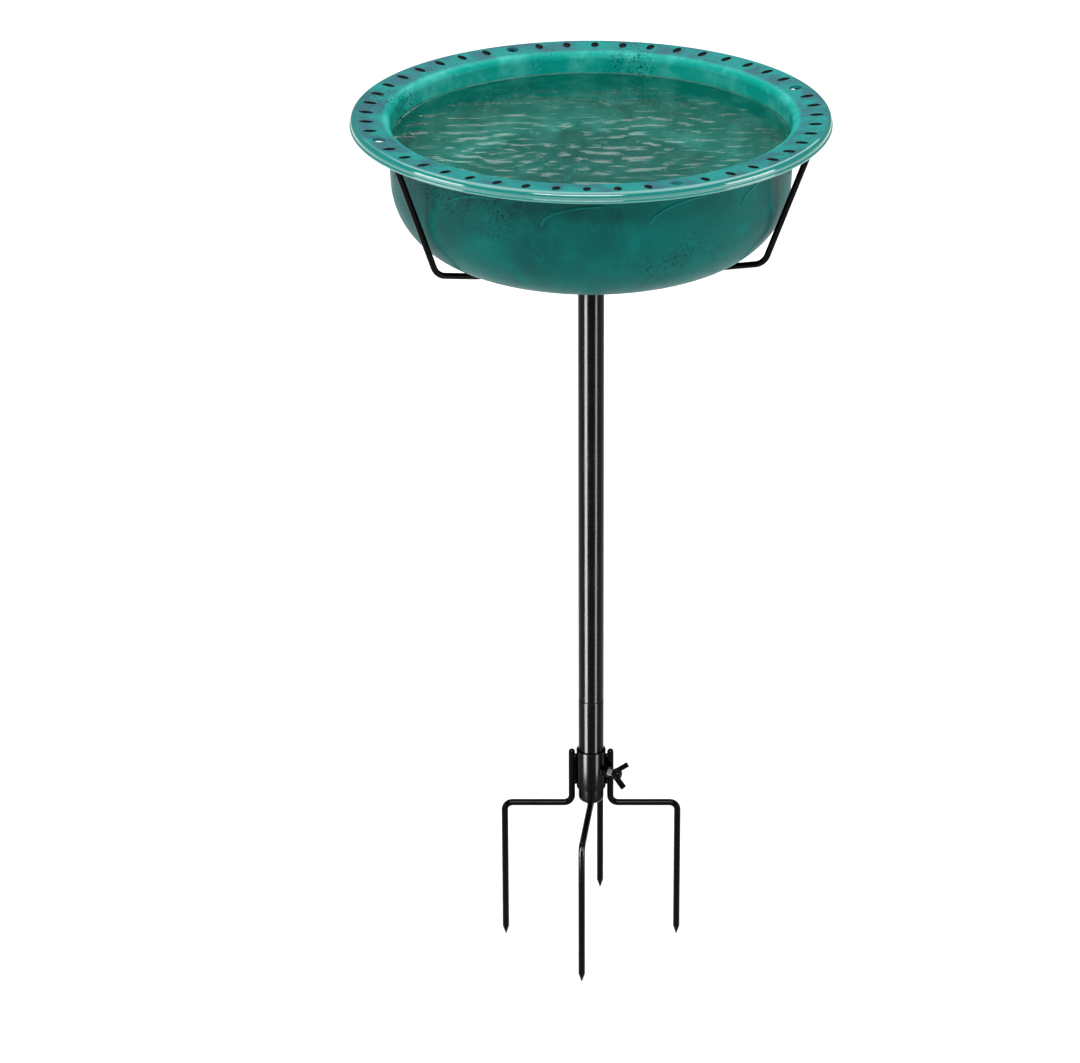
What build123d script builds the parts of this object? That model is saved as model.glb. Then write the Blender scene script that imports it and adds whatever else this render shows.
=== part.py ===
from build123d import *
import os
from math import cos, radians, tan

# Garden bird bath: a shallow round bowl that sits in a wire cradle on a two-piece pole,
# held in a clamp collar on four pointed ground prongs. Millimetres, +Z up, origin on the
# pole's axis at the level of the prong tips, +X to the right-hand prong.

# ---- Bar and wire
ROD_DIAMETER = 5.0
WIRE_DIAMETER = 4.5
WELD_PENETRATION = 0.2

# ---- Ground prongs
PRONG_LENGTH = 113.0
SIDE_PRONG_REACH = 65.3
CROSS_PRONG_REACH = 73.2
CROSS_PRONG_AZIMUTH = 84.5
PRONG_BEND_RADIUS = 6.0
PRONG_POINT_LENGTH = 6.5
PRONG_POINT_DIAMETER = 1.0
PRONG_TO_COLLAR_GAP = 0.9

# ---- Pole
POLE_DIAMETER = 19.0
POLE_WALL = 1.2
LOWER_POLE_LENGTH = 69.5
UPPER_POLE_LENGTH = 352.2
POLE_EDGE_CHAMFER = 0.35
SPIGOT_LENGTH_IN_LOWER = 25.0
SPIGOT_LENGTH_IN_UPPER = 30.0
SPIGOT_WALL = 1.2
SPIGOT_EDGE_CHAMFER = 0.8

# ---- Clamp collar and its end plug
COLLAR_WALL = 1.5
COLLAR_HEIGHT = 31.5
COLLAR_EDGE_FILLET = 0.4
PLUG_EXPOSED_LENGTH = 11.7
PLUG_SPIGOT_LENGTH = 4.0
PLUG_STEP = 1.5
PLUG_EDGE_FILLET = 4.0

# ---- Clamp screw
SCREW_DIAMETER = 5.0
SCREW_AZIMUTH = -29.0
SCREW_HEIGHT_IN_COLLAR = 15.5
SCREW_TIP_CHAMFER = 0.6
SCREW_TIP_GAP = 0.3
SCREW_LENGTH = 14.6
NUT_ACROSS_FLATS = 8.0
NUT_THICKNESS = 4.0
HUB_DIAMETER = 8.0
HUB_LENGTH = 6.2
HUB_GRIP_LENGTH = 4.8
HUB_END_FILLET = 2.6
WING_LENGTH = 11.0
WING_WIDTH = 3.8
WING_THICKNESS = 3.0
WING_SWEEP = 39.5
WING_ROLL = 18.0
WING_ROOT_OFFSET = 2.0
WING_FILLET = 0.7

# ---- Cradle
HUB_PLATE_DIAMETER = 36.0
HUB_PLATE_THICKNESS = 4.0
HUB_PLATE_FILLET = 1.0
PEG_LENGTH = 28.0
PEG_RIVET_DIAMETER = 8.0
PEG_EDGE_CHAMFER = 1.2
ARM_AZIMUTHS = {"left_cradle_arm": 216.0, "right_cradle_arm": 336.0, "rear_cradle_arm": 96.0}
ARM_START_RADIUS = 5.0
ARM_BEND_RADIUS = 13.0
ARM_BEND_INSET = 6.72
ARM_SLOPE_UNDER_BOWL = 13.5

# ---- Bowl
RIM_RADIUS = 170.0
BOWL_DEPTH = 99.5
BOWL_SHEET = 2.2
WALL_TOP_RADIUS = 144.0
WALL_DRAFT = 2.8
BASE_CORNER_RADIUS = 53.5
RIM_SLOPE = 4.0
SHOULDER_RADIUS = 4.0
LIP_CORNER_RADIUS = 1.2
LIP_HEIGHT = 7.7
LIP_BEAD_DIAMETER = 3.0
LIP_BEAD_STAND_OUT = 0.7
RIM_POSITIONS = 48
NOTCH_LENGTH = 10.0
NOTCH_WIDTH = 5.0
NOTCH_DEPTH = 1.3
NOTCH_RING_OFFSET = 1.1
HANGER_HOLE_COUNT = 4
HANGER_HOLE_DIAMETER = 9.0
HANGER_HOLE_AZIMUTH = 21.5

# ---- Weld beads
PRONG_BEAD_DIAMETER = 4.2
PRONG_BEAD_ABOVE_COLLAR_FOOT = 3.8
PRONG_BEAD_BELOW_COLLAR_TOP = 6.2
CROSS_BEAD_DIAMETER = 5.0
CROSS_BEAD_OFFSET = 6.0
HUB_BEAD_DIAMETER = 6.0
RING_BEAD_DIAMETER = 5.0
RING_BEAD_INSET = 0.6

# ---- Clearances
RUNNING_CLEARANCE = 0.10
THREAD_CLEARANCE = 0.05
SEAT_GAP = 0.05
BOWL_REST_CLEARANCE = 0.3
RING_TO_LIP_CLEARANCE = 0.45
HOLE_TO_RING_GAP = 0.25

# ---- Levels, stacked up from the prong tips
RUN_Z = PRONG_LENGTH
PLUG_BOTTOM_Z = RUN_Z + ROD_DIAMETER / 2 - WELD_PENETRATION
COLLAR_BOTTOM_Z = PLUG_BOTTOM_Z + PLUG_EXPOSED_LENGTH
COLLAR_TOP_Z = COLLAR_BOTTOM_Z + COLLAR_HEIGHT
SCREW_Z = COLLAR_BOTTOM_Z + SCREW_HEIGHT_IN_COLLAR
POLE_FOOT_Z = COLLAR_BOTTOM_Z + PLUG_SPIGOT_LENGTH + SEAT_GAP
POLE_JOINT_Z = POLE_FOOT_Z + LOWER_POLE_LENGTH
UPPER_POLE_FOOT_Z = POLE_JOINT_Z + SEAT_GAP
POLE_TOP_Z = UPPER_POLE_FOOT_Z + UPPER_POLE_LENGTH
HUB_PLATE_BOTTOM_Z = POLE_TOP_Z + SEAT_GAP
HUB_PLATE_TOP_Z = HUB_PLATE_BOTTOM_Z + HUB_PLATE_THICKNESS
ARM_Z = HUB_PLATE_TOP_Z - WELD_PENETRATION + WIRE_DIAMETER / 2
BOWL_BASE_Z = ARM_Z + WIRE_DIAMETER / 2 + BOWL_REST_CLEARANCE
RIM_Z = BOWL_BASE_Z + BOWL_DEPTH

# ---- Radii that follow from the fits
POLE_BORE_RADIUS = POLE_DIAMETER / 2 - POLE_WALL
COLLAR_BORE_RADIUS = POLE_DIAMETER / 2 + RUNNING_CLEARANCE
COLLAR_RADIUS = COLLAR_BORE_RADIUS + COLLAR_WALL
PLUG_RADIUS = COLLAR_RADIUS - PLUG_STEP
SIDE_PRONG_OFFSET = COLLAR_RADIUS + PRONG_TO_COLLAR_GAP + ROD_DIAMETER / 2
PEG_RADIUS = POLE_BORE_RADIUS - RUNNING_CLEARANCE
LIP_OUTER_RADIUS = RIM_RADIUS - LIP_BEAD_STAND_OUT
LIP_INNER_RADIUS = LIP_OUTER_RADIUS - BOWL_SHEET
CRADLE_RING_RADIUS = LIP_INNER_RADIUS - RING_TO_LIP_CLEARANCE - WIRE_DIAMETER / 2
HANGER_HOLE_RING_RADIUS = (
    CRADLE_RING_RADIUS - WIRE_DIAMETER / 2 - HOLE_TO_RING_GAP - HANGER_HOLE_DIAMETER / 2
)
NOTCH_RING_RADIUS = HANGER_HOLE_RING_RADIUS + NOTCH_RING_OFFSET
RIM_UNDERSIDE_Z = RIM_Z - BOWL_SHEET
SHOULDER_Z = RIM_UNDERSIDE_Z - (LIP_INNER_RADIUS - WALL_TOP_RADIUS) * tan(radians(RIM_SLOPE))
BASE_CORNER_RUN = WALL_TOP_RADIUS - (SHOULDER_Z - BOWL_BASE_Z) * tan(radians(WALL_DRAFT))
ARM_BEND_REACH = BASE_CORNER_RUN - ARM_BEND_INSET
BASE_CORNER_CENTRE_RADIUS = BASE_CORNER_RUN - BASE_CORNER_RADIUS * tan(radians((90 - WALL_DRAFT) / 2))
ARM_HUG_RADIUS = BASE_CORNER_RADIUS + BOWL_REST_CLEARANCE + WIRE_DIAMETER / 2
CRADLE_RING_Z = (
    RIM_UNDERSIDE_Z
    - (LIP_INNER_RADIUS - CRADLE_RING_RADIUS) * tan(radians(RIM_SLOPE))
    - (WIRE_DIAMETER / 2 + BOWL_REST_CLEARANCE) / cos(radians(RIM_SLOPE))
)


def rim_top_z(radius):
    """Height of the rim's sloping top face at a radius."""
    rise = BOWL_SHEET / cos(radians(RIM_SLOPE))
    return RIM_UNDERSIDE_Z - (LIP_INNER_RADIUS - radius) * tan(radians(RIM_SLOPE)) + rise


def around(azimuth, solid):
    """Turn a solid about the pole's axis from +X to an azimuth in degrees."""
    return Rot(0, 0, azimuth) * solid


def round_bar(corners, bend_radii, diameter):
    """Round bar along straight runs in the XZ plane, joined by tangent bends."""
    path = FilletPolyline(*[(x, 0, z) for x, z in corners], radius=bend_radii)
    section = Plane(origin=path @ 0, z_dir=path % 0) * Circle(diameter / 2)
    return sweep(section, path=path)


def tube(outer_radius, bore_radius, bottom_z, length, edge_chamfer):
    """Upright tube on the pole's axis with its outer end edges broken."""
    body = Cylinder(outer_radius, length, align=(Align.CENTER, Align.CENTER, Align.MIN))
    body = chamfer(body.edges().filter_by(GeomType.CIRCLE), edge_chamfer)
    bore = Cylinder(bore_radius, length, align=(Align.CENTER, Align.CENTER, Align.MIN))
    return Pos(0, 0, bottom_z) * (body - bore)


def prong_point(reach):
    """Pencil point at the foot of a prong whose axis is at +X reach."""
    point = Cone(
        PRONG_POINT_DIAMETER / 2,
        ROD_DIAMETER / 2,
        PRONG_POINT_LENGTH,
        align=(Align.CENTER, Align.CENTER, Align.MIN),
    )
    return Pos(reach, 0, 0) * point


def side_prong():
    """Prong beside the collar: up its wall, out along the run and down to a point."""
    top_z = COLLAR_TOP_Z - ROD_DIAMETER / 2
    corners = [
        (SIDE_PRONG_OFFSET, top_z),
        (SIDE_PRONG_OFFSET, RUN_Z),
        (SIDE_PRONG_REACH, RUN_Z),
        (SIDE_PRONG_REACH, PRONG_POINT_LENGTH),
    ]
    bar = round_bar(corners, PRONG_BEND_RADIUS, ROD_DIAMETER)
    dome = Pos(SIDE_PRONG_OFFSET, 0, top_z) * Sphere(ROD_DIAMETER / 2)
    return bar + dome + prong_point(SIDE_PRONG_REACH)


def cross_prong():
    """One bar bent into an upside-down U under the plug: the front and rear prongs."""
    corners = [
        (-CROSS_PRONG_REACH, PRONG_POINT_LENGTH),
        (-CROSS_PRONG_REACH, RUN_Z),
        (CROSS_PRONG_REACH, RUN_Z),
        (CROSS_PRONG_REACH, PRONG_POINT_LENGTH),
    ]
    bar = round_bar(corners, PRONG_BEND_RADIUS, ROD_DIAMETER)
    bar = bar + prong_point(-CROSS_PRONG_REACH) + prong_point(CROSS_PRONG_REACH)
    return around(CROSS_PRONG_AZIMUTH, bar)


def prong_weld_beads():
    """Beads between the side prongs and the collar, and between the U and the plug."""
    side_x = COLLAR_RADIUS + PRONG_TO_COLLAR_GAP
    low_z = COLLAR_BOTTOM_Z + PRONG_BEAD_ABOVE_COLLAR_FOOT
    high_z = COLLAR_TOP_Z - PRONG_BEAD_BELOW_COLLAR_TOP
    beads = [
        Pos(side * side_x, 0, z) * Sphere(PRONG_BEAD_DIAMETER / 2)
        for side in (-1, 1)
        for z in (low_z, high_z)
    ]
    cross_z = RUN_Z + ROD_DIAMETER / 2
    for end in (-1, 1):
        bead = Pos(end * CROSS_BEAD_OFFSET, 0, cross_z) * Sphere(CROSS_BEAD_DIAMETER / 2)
        beads.append(around(CROSS_PRONG_AZIMUTH, bead))
    return Compound(children=beads)


def screw_hole():
    """Round cutter along the clamp screw's axis, from the pole's axis outwards."""
    length = COLLAR_RADIUS + NUT_THICKNESS + SCREW_LENGTH
    cutter = Cylinder(
        SCREW_DIAMETER / 2 + THREAD_CLEARANCE,
        length,
        rotation=(0, 90, 0),
        align=(Align.CENTER, Align.CENTER, Align.MIN),
    )
    return around(SCREW_AZIMUTH, Pos(0, 0, SCREW_Z) * cutter)


def collar_tube():
    """Short tube that the pole stands in, drilled for the clamp screw."""
    body = Cylinder(COLLAR_RADIUS, COLLAR_HEIGHT, align=(Align.CENTER, Align.CENTER, Align.MIN))
    body = fillet(body.edges().filter_by(GeomType.CIRCLE), COLLAR_EDGE_FILLET)
    bore = Cylinder(COLLAR_BORE_RADIUS, COLLAR_HEIGHT, align=(Align.CENTER, Align.CENTER, Align.MIN))
    return Pos(0, 0, COLLAR_BOTTOM_Z) * (body - bore) - screw_hole()


def collar_end_plug():
    """Plug that closes the collar's foot, with a spigot pressed into the bore."""
    head = Cylinder(PLUG_RADIUS, PLUG_EXPOSED_LENGTH, align=(Align.CENTER, Align.CENTER, Align.MIN))
    head = fillet(head.edges().group_by(Axis.Z)[0], PLUG_EDGE_FILLET)
    spigot = Cylinder(COLLAR_BORE_RADIUS, PLUG_SPIGOT_LENGTH, align=(Align.CENTER, Align.CENTER, Align.MIN))
    return Pos(0, 0, PLUG_BOTTOM_Z) * (head + Pos(0, 0, PLUG_EXPOSED_LENGTH) * spigot)


def clamp_nut():
    """Hexagon weld nut saddled on the collar's wall."""
    hexagon = RegularPolygon(NUT_ACROSS_FLATS / 2, 6, major_radius=False, rotation=30)
    blank = Plane.YZ * extrude(hexagon, COLLAR_RADIUS + NUT_THICKNESS)
    blank = around(SCREW_AZIMUTH, Pos(0, 0, SCREW_Z) * blank)
    core = Cylinder(COLLAR_RADIUS, COLLAR_HEIGHT, align=(Align.CENTER, Align.CENTER, Align.MIN))
    return blank - Pos(0, 0, COLLAR_BOTTOM_Z) * core - screw_hole()


def clamp_screw_shank():
    """Threaded shank of the wing screw, drawn at its crest diameter."""
    shank = Cylinder(SCREW_DIAMETER / 2, SCREW_LENGTH, align=(Align.CENTER, Align.CENTER, Align.MIN))
    shank = chamfer(shank.edges().group_by(Axis.Z)[0], SCREW_TIP_CHAMFER)
    shank = Rot(0, 90, 0) * shank
    return around(SCREW_AZIMUTH, Pos(POLE_DIAMETER / 2 + SCREW_TIP_GAP, 0, SCREW_Z) * shank)


def clamp_screw_wings():
    """Cast head of the wing screw: a round hub with two swept square-ended wings."""
    hub = Cylinder(HUB_DIAMETER / 2, HUB_LENGTH, align=(Align.CENTER, Align.CENTER, Align.MIN))
    hub = fillet(hub.edges().group_by(Axis.Z)[-1], HUB_END_FILLET)
    head = hub
    for side in (-1, 1):
        wing = Box(WING_THICKNESS, WING_WIDTH, WING_LENGTH, align=(Align.CENTER, Align.CENTER, Align.MIN))
        wing = fillet(wing.edges().filter_by(Axis.Z), WING_FILLET)
        wing = Pos(0, side * WING_ROOT_OFFSET, HUB_LENGTH / 4) * Rot(-side * WING_SWEEP, 0, 0) * wing
        head = head + wing
    socket = Cylinder(
        SCREW_DIAMETER / 2 + THREAD_CLEARANCE,
        HUB_GRIP_LENGTH + SEAT_GAP,
        align=(Align.CENTER, Align.CENTER, Align.MIN),
    )
    head = Rot(-WING_ROLL, 0, 0) * (Plane.YZ * (head - socket))
    hub_start = POLE_DIAMETER / 2 + SCREW_TIP_GAP + SCREW_LENGTH - HUB_GRIP_LENGTH
    return around(SCREW_AZIMUTH, Pos(hub_start, 0, SCREW_Z) * head)


def lower_pole_tube():
    """Lower pole tube, standing on the plug inside the collar."""
    return tube(POLE_DIAMETER / 2, POLE_BORE_RADIUS, POLE_FOOT_Z, LOWER_POLE_LENGTH, POLE_EDGE_CHAMFER)


def pole_joint_spigot():
    """Stepped tube pressed into the lower pole, over which the upper pole slips."""
    fixed_z = POLE_JOINT_Z - SPIGOT_LENGTH_IN_LOWER
    fixed = Pos(0, 0, fixed_z) * Cylinder(
        POLE_BORE_RADIUS, SPIGOT_LENGTH_IN_LOWER, align=(Align.CENTER, Align.CENTER, Align.MIN)
    )
    free = Cylinder(PEG_RADIUS, SPIGOT_LENGTH_IN_UPPER, align=(Align.CENTER, Align.CENTER, Align.MIN))
    free = chamfer(free.edges().group_by(Axis.Z)[-1], SPIGOT_EDGE_CHAMFER)
    bore = Pos(0, 0, fixed_z) * Cylinder(
        PEG_RADIUS - SPIGOT_WALL,
        SPIGOT_LENGTH_IN_LOWER + SPIGOT_LENGTH_IN_UPPER,
        align=(Align.CENTER, Align.CENTER, Align.MIN),
    )
    return fixed + Pos(0, 0, POLE_JOINT_Z) * free - bore


def upper_pole_tube():
    """Upper pole tube, from the joint up to the cradle."""
    return tube(POLE_DIAMETER / 2, POLE_BORE_RADIUS, UPPER_POLE_FOOT_Z, UPPER_POLE_LENGTH, POLE_EDGE_CHAMFER)


def cradle_peg():
    """Peg that drops into the pole's bore, riveted through the hub plate."""
    body = Cylinder(PEG_RADIUS, PEG_LENGTH, align=(Align.CENTER, Align.CENTER, Align.MAX))
    body = chamfer(body.edges().group_by(Axis.Z)[0], PEG_EDGE_CHAMFER)
    rivet = Cylinder(
        PEG_RIVET_DIAMETER / 2, HUB_PLATE_THICKNESS, align=(Align.CENTER, Align.CENTER, Align.MIN)
    )
    return Pos(0, 0, HUB_PLATE_BOTTOM_Z) * (body + rivet)


def cradle_hub():
    """Round plate on the pole's top that the three arms are welded to."""
    plate = Cylinder(
        HUB_PLATE_DIAMETER / 2, HUB_PLATE_THICKNESS, align=(Align.CENTER, Align.CENTER, Align.MIN)
    )
    plate = fillet(plate.edges().filter_by(GeomType.CIRCLE), HUB_PLATE_FILLET)
    eye = Cylinder(
        PEG_RIVET_DIAMETER / 2, HUB_PLATE_THICKNESS, align=(Align.CENTER, Align.CENTER, Align.MIN)
    )
    return Pos(0, 0, HUB_PLATE_BOTTOM_Z) * (plate - eye)


def arm_corners():
    """Corners of an arm in the XZ plane, from the hub out to the cradle ring.

    The arm lies flat under the bowl, rises along the bowl's base corner at the clearance
    that the bowl rests with, and then climbs straight to the underside of the ring.
    """
    slope = radians(ARM_SLOPE_UNDER_BOWL)
    flat_end = BASE_CORNER_CENTRE_RADIUS + ARM_HUG_RADIUS * tan(slope / 2)
    bend_z = ARM_Z + (ARM_BEND_REACH - flat_end) * tan(slope)
    ring_foot_z = CRADLE_RING_Z - WIRE_DIAMETER / 2
    return [
        (ARM_START_RADIUS, ARM_Z),
        (flat_end, ARM_Z),
        (ARM_BEND_REACH, bend_z),
        (CRADLE_RING_RADIUS, ring_foot_z),
    ]


def cradle_arm(azimuth):
    """Wire arm from the hub plate, round the bowl's corner, up to the ring."""
    bar = round_bar(arm_corners(), [ARM_HUG_RADIUS, ARM_BEND_RADIUS], WIRE_DIAMETER)
    return around(azimuth, bar)


def cradle_ring():
    """Wire ring that carries the rim, hidden inside its turned-down lip."""
    return Pos(0, 0, CRADLE_RING_Z) * Torus(CRADLE_RING_RADIUS, WIRE_DIAMETER / 2)


def cradle_weld_beads():
    """Beads where each arm meets the hub plate and the ring."""
    hub_bead = Sphere(HUB_BEAD_DIAMETER / 2)
    hub_bead = Pos((HUB_PLATE_DIAMETER - HUB_BEAD_DIAMETER) / 2, 0, HUB_PLATE_TOP_Z) * hub_bead
    ring_bead = Sphere(RING_BEAD_DIAMETER / 2)
    ring_bead = Pos(CRADLE_RING_RADIUS - RING_BEAD_INSET, 0, CRADLE_RING_Z - WIRE_DIAMETER / 2) * ring_bead
    beads = []
    for azimuth in ARM_AZIMUTHS.values():
        beads.append(around(azimuth, hub_bead))
        beads.append(around(azimuth, ring_bead))
    return Compound(children=beads)


def bowl_shell():
    """Bowl sheet of constant thickness, spun about the axis, with its lip bead."""
    underside = FilletPolyline(
        (0, BOWL_BASE_Z),
        (BASE_CORNER_RUN, BOWL_BASE_Z),
        (WALL_TOP_RADIUS, SHOULDER_Z),
        (LIP_INNER_RADIUS, RIM_UNDERSIDE_Z),
        (LIP_INNER_RADIUS, RIM_Z - LIP_HEIGHT),
        radius=[BASE_CORNER_RADIUS, SHOULDER_RADIUS, LIP_CORNER_RADIUS],
    )
    section = make_face(offset(underside, BOWL_SHEET, side=Side.LEFT, closed=True))
    shell = revolve(Plane.XZ * section, Axis.Z)
    bead_radius = LIP_BEAD_DIAMETER / 2
    bead = Pos(0, 0, RIM_Z - LIP_HEIGHT + bead_radius) * Torus(RIM_RADIUS - bead_radius, bead_radius)
    return shell + bead


def notch_cutter():
    """Spindle whose belly leaves one finger notch in the rim's top face."""
    belly = (NOTCH_WIDTH ** 2 / 4 + NOTCH_DEPTH ** 2) / (2 * NOTCH_DEPTH)
    waist = belly - NOTCH_DEPTH
    half = NOTCH_LENGTH / 2
    outline = ThreePointArc((-half, waist), (0, belly), (half, waist))
    sides = Polyline((half, waist), (half, 0), (-half, 0), (-half, waist))
    spindle = revolve(make_face(outline + sides), Axis.X)
    tilt = Rot(0, -RIM_SLOPE, 0) * Pos(0, 0, waist)
    return Pos(NOTCH_RING_RADIUS, 0, rim_top_z(NOTCH_RING_RADIUS)) * tilt * spindle


def bowl():
    """Bowl with its ring of rim notches and the four holes for hanging chains."""
    pitch = 360 / RIM_POSITIONS
    hole_step = RIM_POSITIONS // HANGER_HOLE_COUNT
    hole = Pos(HANGER_HOLE_RING_RADIUS, 0, RIM_Z) * Cylinder(HANGER_HOLE_DIAMETER / 2, 4 * LIP_HEIGHT)
    notch = notch_cutter()
    cutters = []
    for position in range(RIM_POSITIONS):
        cutter = hole if position % hole_step == 0 else notch
        cutters.append(around(HANGER_HOLE_AZIMUTH + position * pitch, cutter))
    return bowl_shell() - cutters


PARTS = {
    "collar_tube": collar_tube,
    "collar_end_plug": collar_end_plug,
    "right_prong": side_prong,
    "left_prong": lambda: around(180, side_prong()),
    "cross_prong": cross_prong,
    "prong_weld_beads": prong_weld_beads,
    "clamp_nut": clamp_nut,
    "clamp_screw_shank": clamp_screw_shank,
    "clamp_screw_wings": clamp_screw_wings,
    "lower_pole_tube": lower_pole_tube,
    "pole_joint_spigot": pole_joint_spigot,
    "upper_pole_tube": upper_pole_tube,
    "cradle_peg": cradle_peg,
    "cradle_hub": cradle_hub,
    "cradle_ring": cradle_ring,
    "cradle_weld_beads": cradle_weld_beads,
    "bowl": bowl,
}

os.makedirs("parts", exist_ok=True)
for name, make in PARTS.items():
    export_step(make(), f"parts/{name}.step")
for name, azimuth in ARM_AZIMUTHS.items():
    export_step(cradle_arm(azimuth), f"parts/{name}.step")
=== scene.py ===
"""Studio scene of a garden bird bath: a glossy bowl in a wire cradle, on a pole with ground prongs.

Every piece is built here in metres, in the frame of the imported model, and rides on one of its bodies.
"""

from __future__ import annotations

import logging
import math
from dataclasses import dataclass, field
from enum import Enum
from functools import reduce
from itertools import product

import bpy
import numpy as np
from mathutils import Matrix, Vector

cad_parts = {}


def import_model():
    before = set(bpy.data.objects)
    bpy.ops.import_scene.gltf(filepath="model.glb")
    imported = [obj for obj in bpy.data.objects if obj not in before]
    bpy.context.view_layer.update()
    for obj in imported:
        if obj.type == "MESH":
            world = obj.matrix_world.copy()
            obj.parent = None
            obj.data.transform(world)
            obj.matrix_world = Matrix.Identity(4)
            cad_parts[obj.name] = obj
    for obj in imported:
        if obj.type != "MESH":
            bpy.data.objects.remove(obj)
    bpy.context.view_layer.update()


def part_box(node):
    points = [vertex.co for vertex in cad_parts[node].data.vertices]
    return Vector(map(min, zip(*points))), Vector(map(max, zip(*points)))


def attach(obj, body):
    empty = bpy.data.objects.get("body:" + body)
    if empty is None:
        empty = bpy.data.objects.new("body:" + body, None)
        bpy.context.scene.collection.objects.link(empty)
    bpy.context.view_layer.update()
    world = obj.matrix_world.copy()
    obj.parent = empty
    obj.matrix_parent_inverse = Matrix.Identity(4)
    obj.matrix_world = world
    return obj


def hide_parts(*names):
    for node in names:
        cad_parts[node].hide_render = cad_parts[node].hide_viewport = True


LOG = logging.getLogger("bird_bath")
MM = 0.001
FULL_TURN = 2 * math.pi
SHARP_ANGLE = math.radians(38)
ON_AXIS = 1e-7
POINT_SHOULDER = (0.06, 0.96)
"""Where a pencil point starts, as a share of its length, and the rod's width there, as a share."""
TIP_ROUNDING = ((0.5, 1.0), (0.15, 0.6), (0.0, 0.0))
"""Distance back from a point's tip and the radius there, both in radii of the tip."""
BOX_FACES = [(0, 1, 3, 2), (4, 6, 7, 5), (0, 4, 5, 1), (2, 3, 7, 6), (0, 2, 6, 4), (1, 5, 7, 3)]
"""Faces of a box whose corners are numbered with Z fastest, then Y, then X."""
CUT_BURR = 0.08
"""Width of the bevel round a cut bar's end, as a share of the bar's radius."""

Face = tuple[int, ...]
Colour = tuple[float, float, float, float]


class Body(Enum):
    """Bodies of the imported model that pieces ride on."""

    BASE = "base"
    CLAMP_SHANK = "clamp_shank"
    CLAMP_HEAD = "clamp_head"
    LOWER_POLE = "lower_pole"
    UPPER_POLE = "upper_pole"
    CRADLE = "cradle"
    BOWL = "bowl"


class Slot(Enum):
    """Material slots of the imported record."""

    ENAMEL = "black_enamel"
    ZINC = "zinc_steel"
    PATINA = "patina_teal"


class BarEnd(Enum):
    """How the end of a round bar is finished."""

    CUT = "cut"
    DOMED = "domed"
    POINTED = "pointed"


def srgb(red: int, green: int, blue: int) -> Colour:
    """Return a display colour, 0 to 255 a channel, as the linear colour that a shader takes."""
    channels = np.array([red, green, blue]) / 255
    linear = np.where(channels <= 0.04045, channels / 12.92, ((channels + 0.055) / 1.055) ** 2.4)
    return (float(linear[0]), float(linear[1]), float(linear[2]), 1.0)


def grey(level: int) -> Colour:
    """Return a neutral display level, 0 to 255, as a linear colour."""
    return srgb(level, level, level)


# ---------------------------------------------------------------- outlines


def unit(vector: np.ndarray) -> np.ndarray:
    """Return a vector at length one."""
    return vector / np.linalg.norm(vector)


def rounded_path(
    corners: list[tuple[float, float]], radii: list[float], steps: int
) -> np.ndarray:
    """Run straight between corners and turn each inner corner with a tangent arc.

    Args:
        corners: The path's corners in a plane.
        radii: One arc radius for each inner corner.
        steps: Segments in each arc.

    Returns:
        The path's points, one row each.
    """
    points = [np.array(corners[0], float)]
    for before, corner, after, radius in zip(corners, corners[1:], corners[2:], radii):
        here = np.array(corner, float)
        back = unit(np.array(before, float) - here)
        ahead = unit(np.array(after, float) - here)
        half = math.acos(float(np.clip(back @ ahead, -1, 1))) / 2
        reach = radius / math.tan(half)
        centre = here + unit(back + ahead) * radius / math.sin(half)
        first, last = here + back * reach - centre, here + ahead * reach - centre
        turn = math.pi - 2 * half
        for share in np.linspace(0, 1, steps + 1):
            mixed = math.sin((1 - share) * turn) * first + math.sin(share * turn) * last
            points.append(centre + mixed / math.sin(turn))
    points.append(np.array(corners[-1], float))
    return np.array(points)


def arc(
    centre: tuple[float, float], radius: float, first: float, last: float, steps: int
) -> np.ndarray:
    """Return the points of an arc about a centre, from one angle to another in degrees."""
    angles = np.radians(np.linspace(first, last, steps + 1))
    return np.array(centre) + radius * np.stack([np.cos(angles), np.sin(angles)], -1)


def left_offset(points: np.ndarray, distance: float) -> np.ndarray:
    """Shift a plane path to its left, as a sheet's second face lies beside the first."""
    runs = np.diff(points, axis=0)
    runs = runs / np.linalg.norm(runs, axis=1)[:, None]
    along = np.vstack([runs[:1], runs[:-1] + runs[1:], runs[-1:]])
    along = along / np.linalg.norm(along, axis=1)[:, None]
    return points + distance * np.stack([-along[:, 1], along[:, 0]], -1)


def turned_outline(corners: list[tuple[float, float]], edge: float, steps: int = 6) -> np.ndarray:
    """Round every inner corner of a turned piece's outline by the same small radius."""
    return rounded_path(corners, [edge] * (len(corners) - 2), steps)


def heading(degrees: float) -> np.ndarray:
    """Return the level direction at an azimuth in degrees from +X."""
    return np.array([math.cos(math.radians(degrees)), math.sin(math.radians(degrees))])


# ---------------------------------------------------------------- meshes


def new_mesh(name: str, points: np.ndarray, faces: list[Face]) -> bpy.types.Mesh:
    """Make a smooth-shaded mesh whose hard corners stay sharp.

    Args:
        name: The mesh's name.
        points: Vertex places in metres, one row each.
        faces: Vertex numbers of each face, counter-clockwise from outside.

    Returns:
        The finished mesh.
    """
    mesh = bpy.data.meshes.new(name)
    mesh.from_pydata([tuple(map(float, p)) for p in points], [], faces)
    return smoothed(mesh)


def smoothed(mesh: bpy.types.Mesh) -> bpy.types.Mesh:
    """Shade a mesh smooth and mark the edges that turn more than the sharp angle."""
    mesh.validate()
    mesh.shade_smooth()
    mesh.set_sharp_from_angle(angle=SHARP_ANGLE)
    mesh.update()
    return mesh


def places_of(mesh: bpy.types.Mesh) -> np.ndarray:
    """Return a mesh's vertex places, one row each."""
    return np.array([vertex.co for vertex in mesh.vertices])


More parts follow.
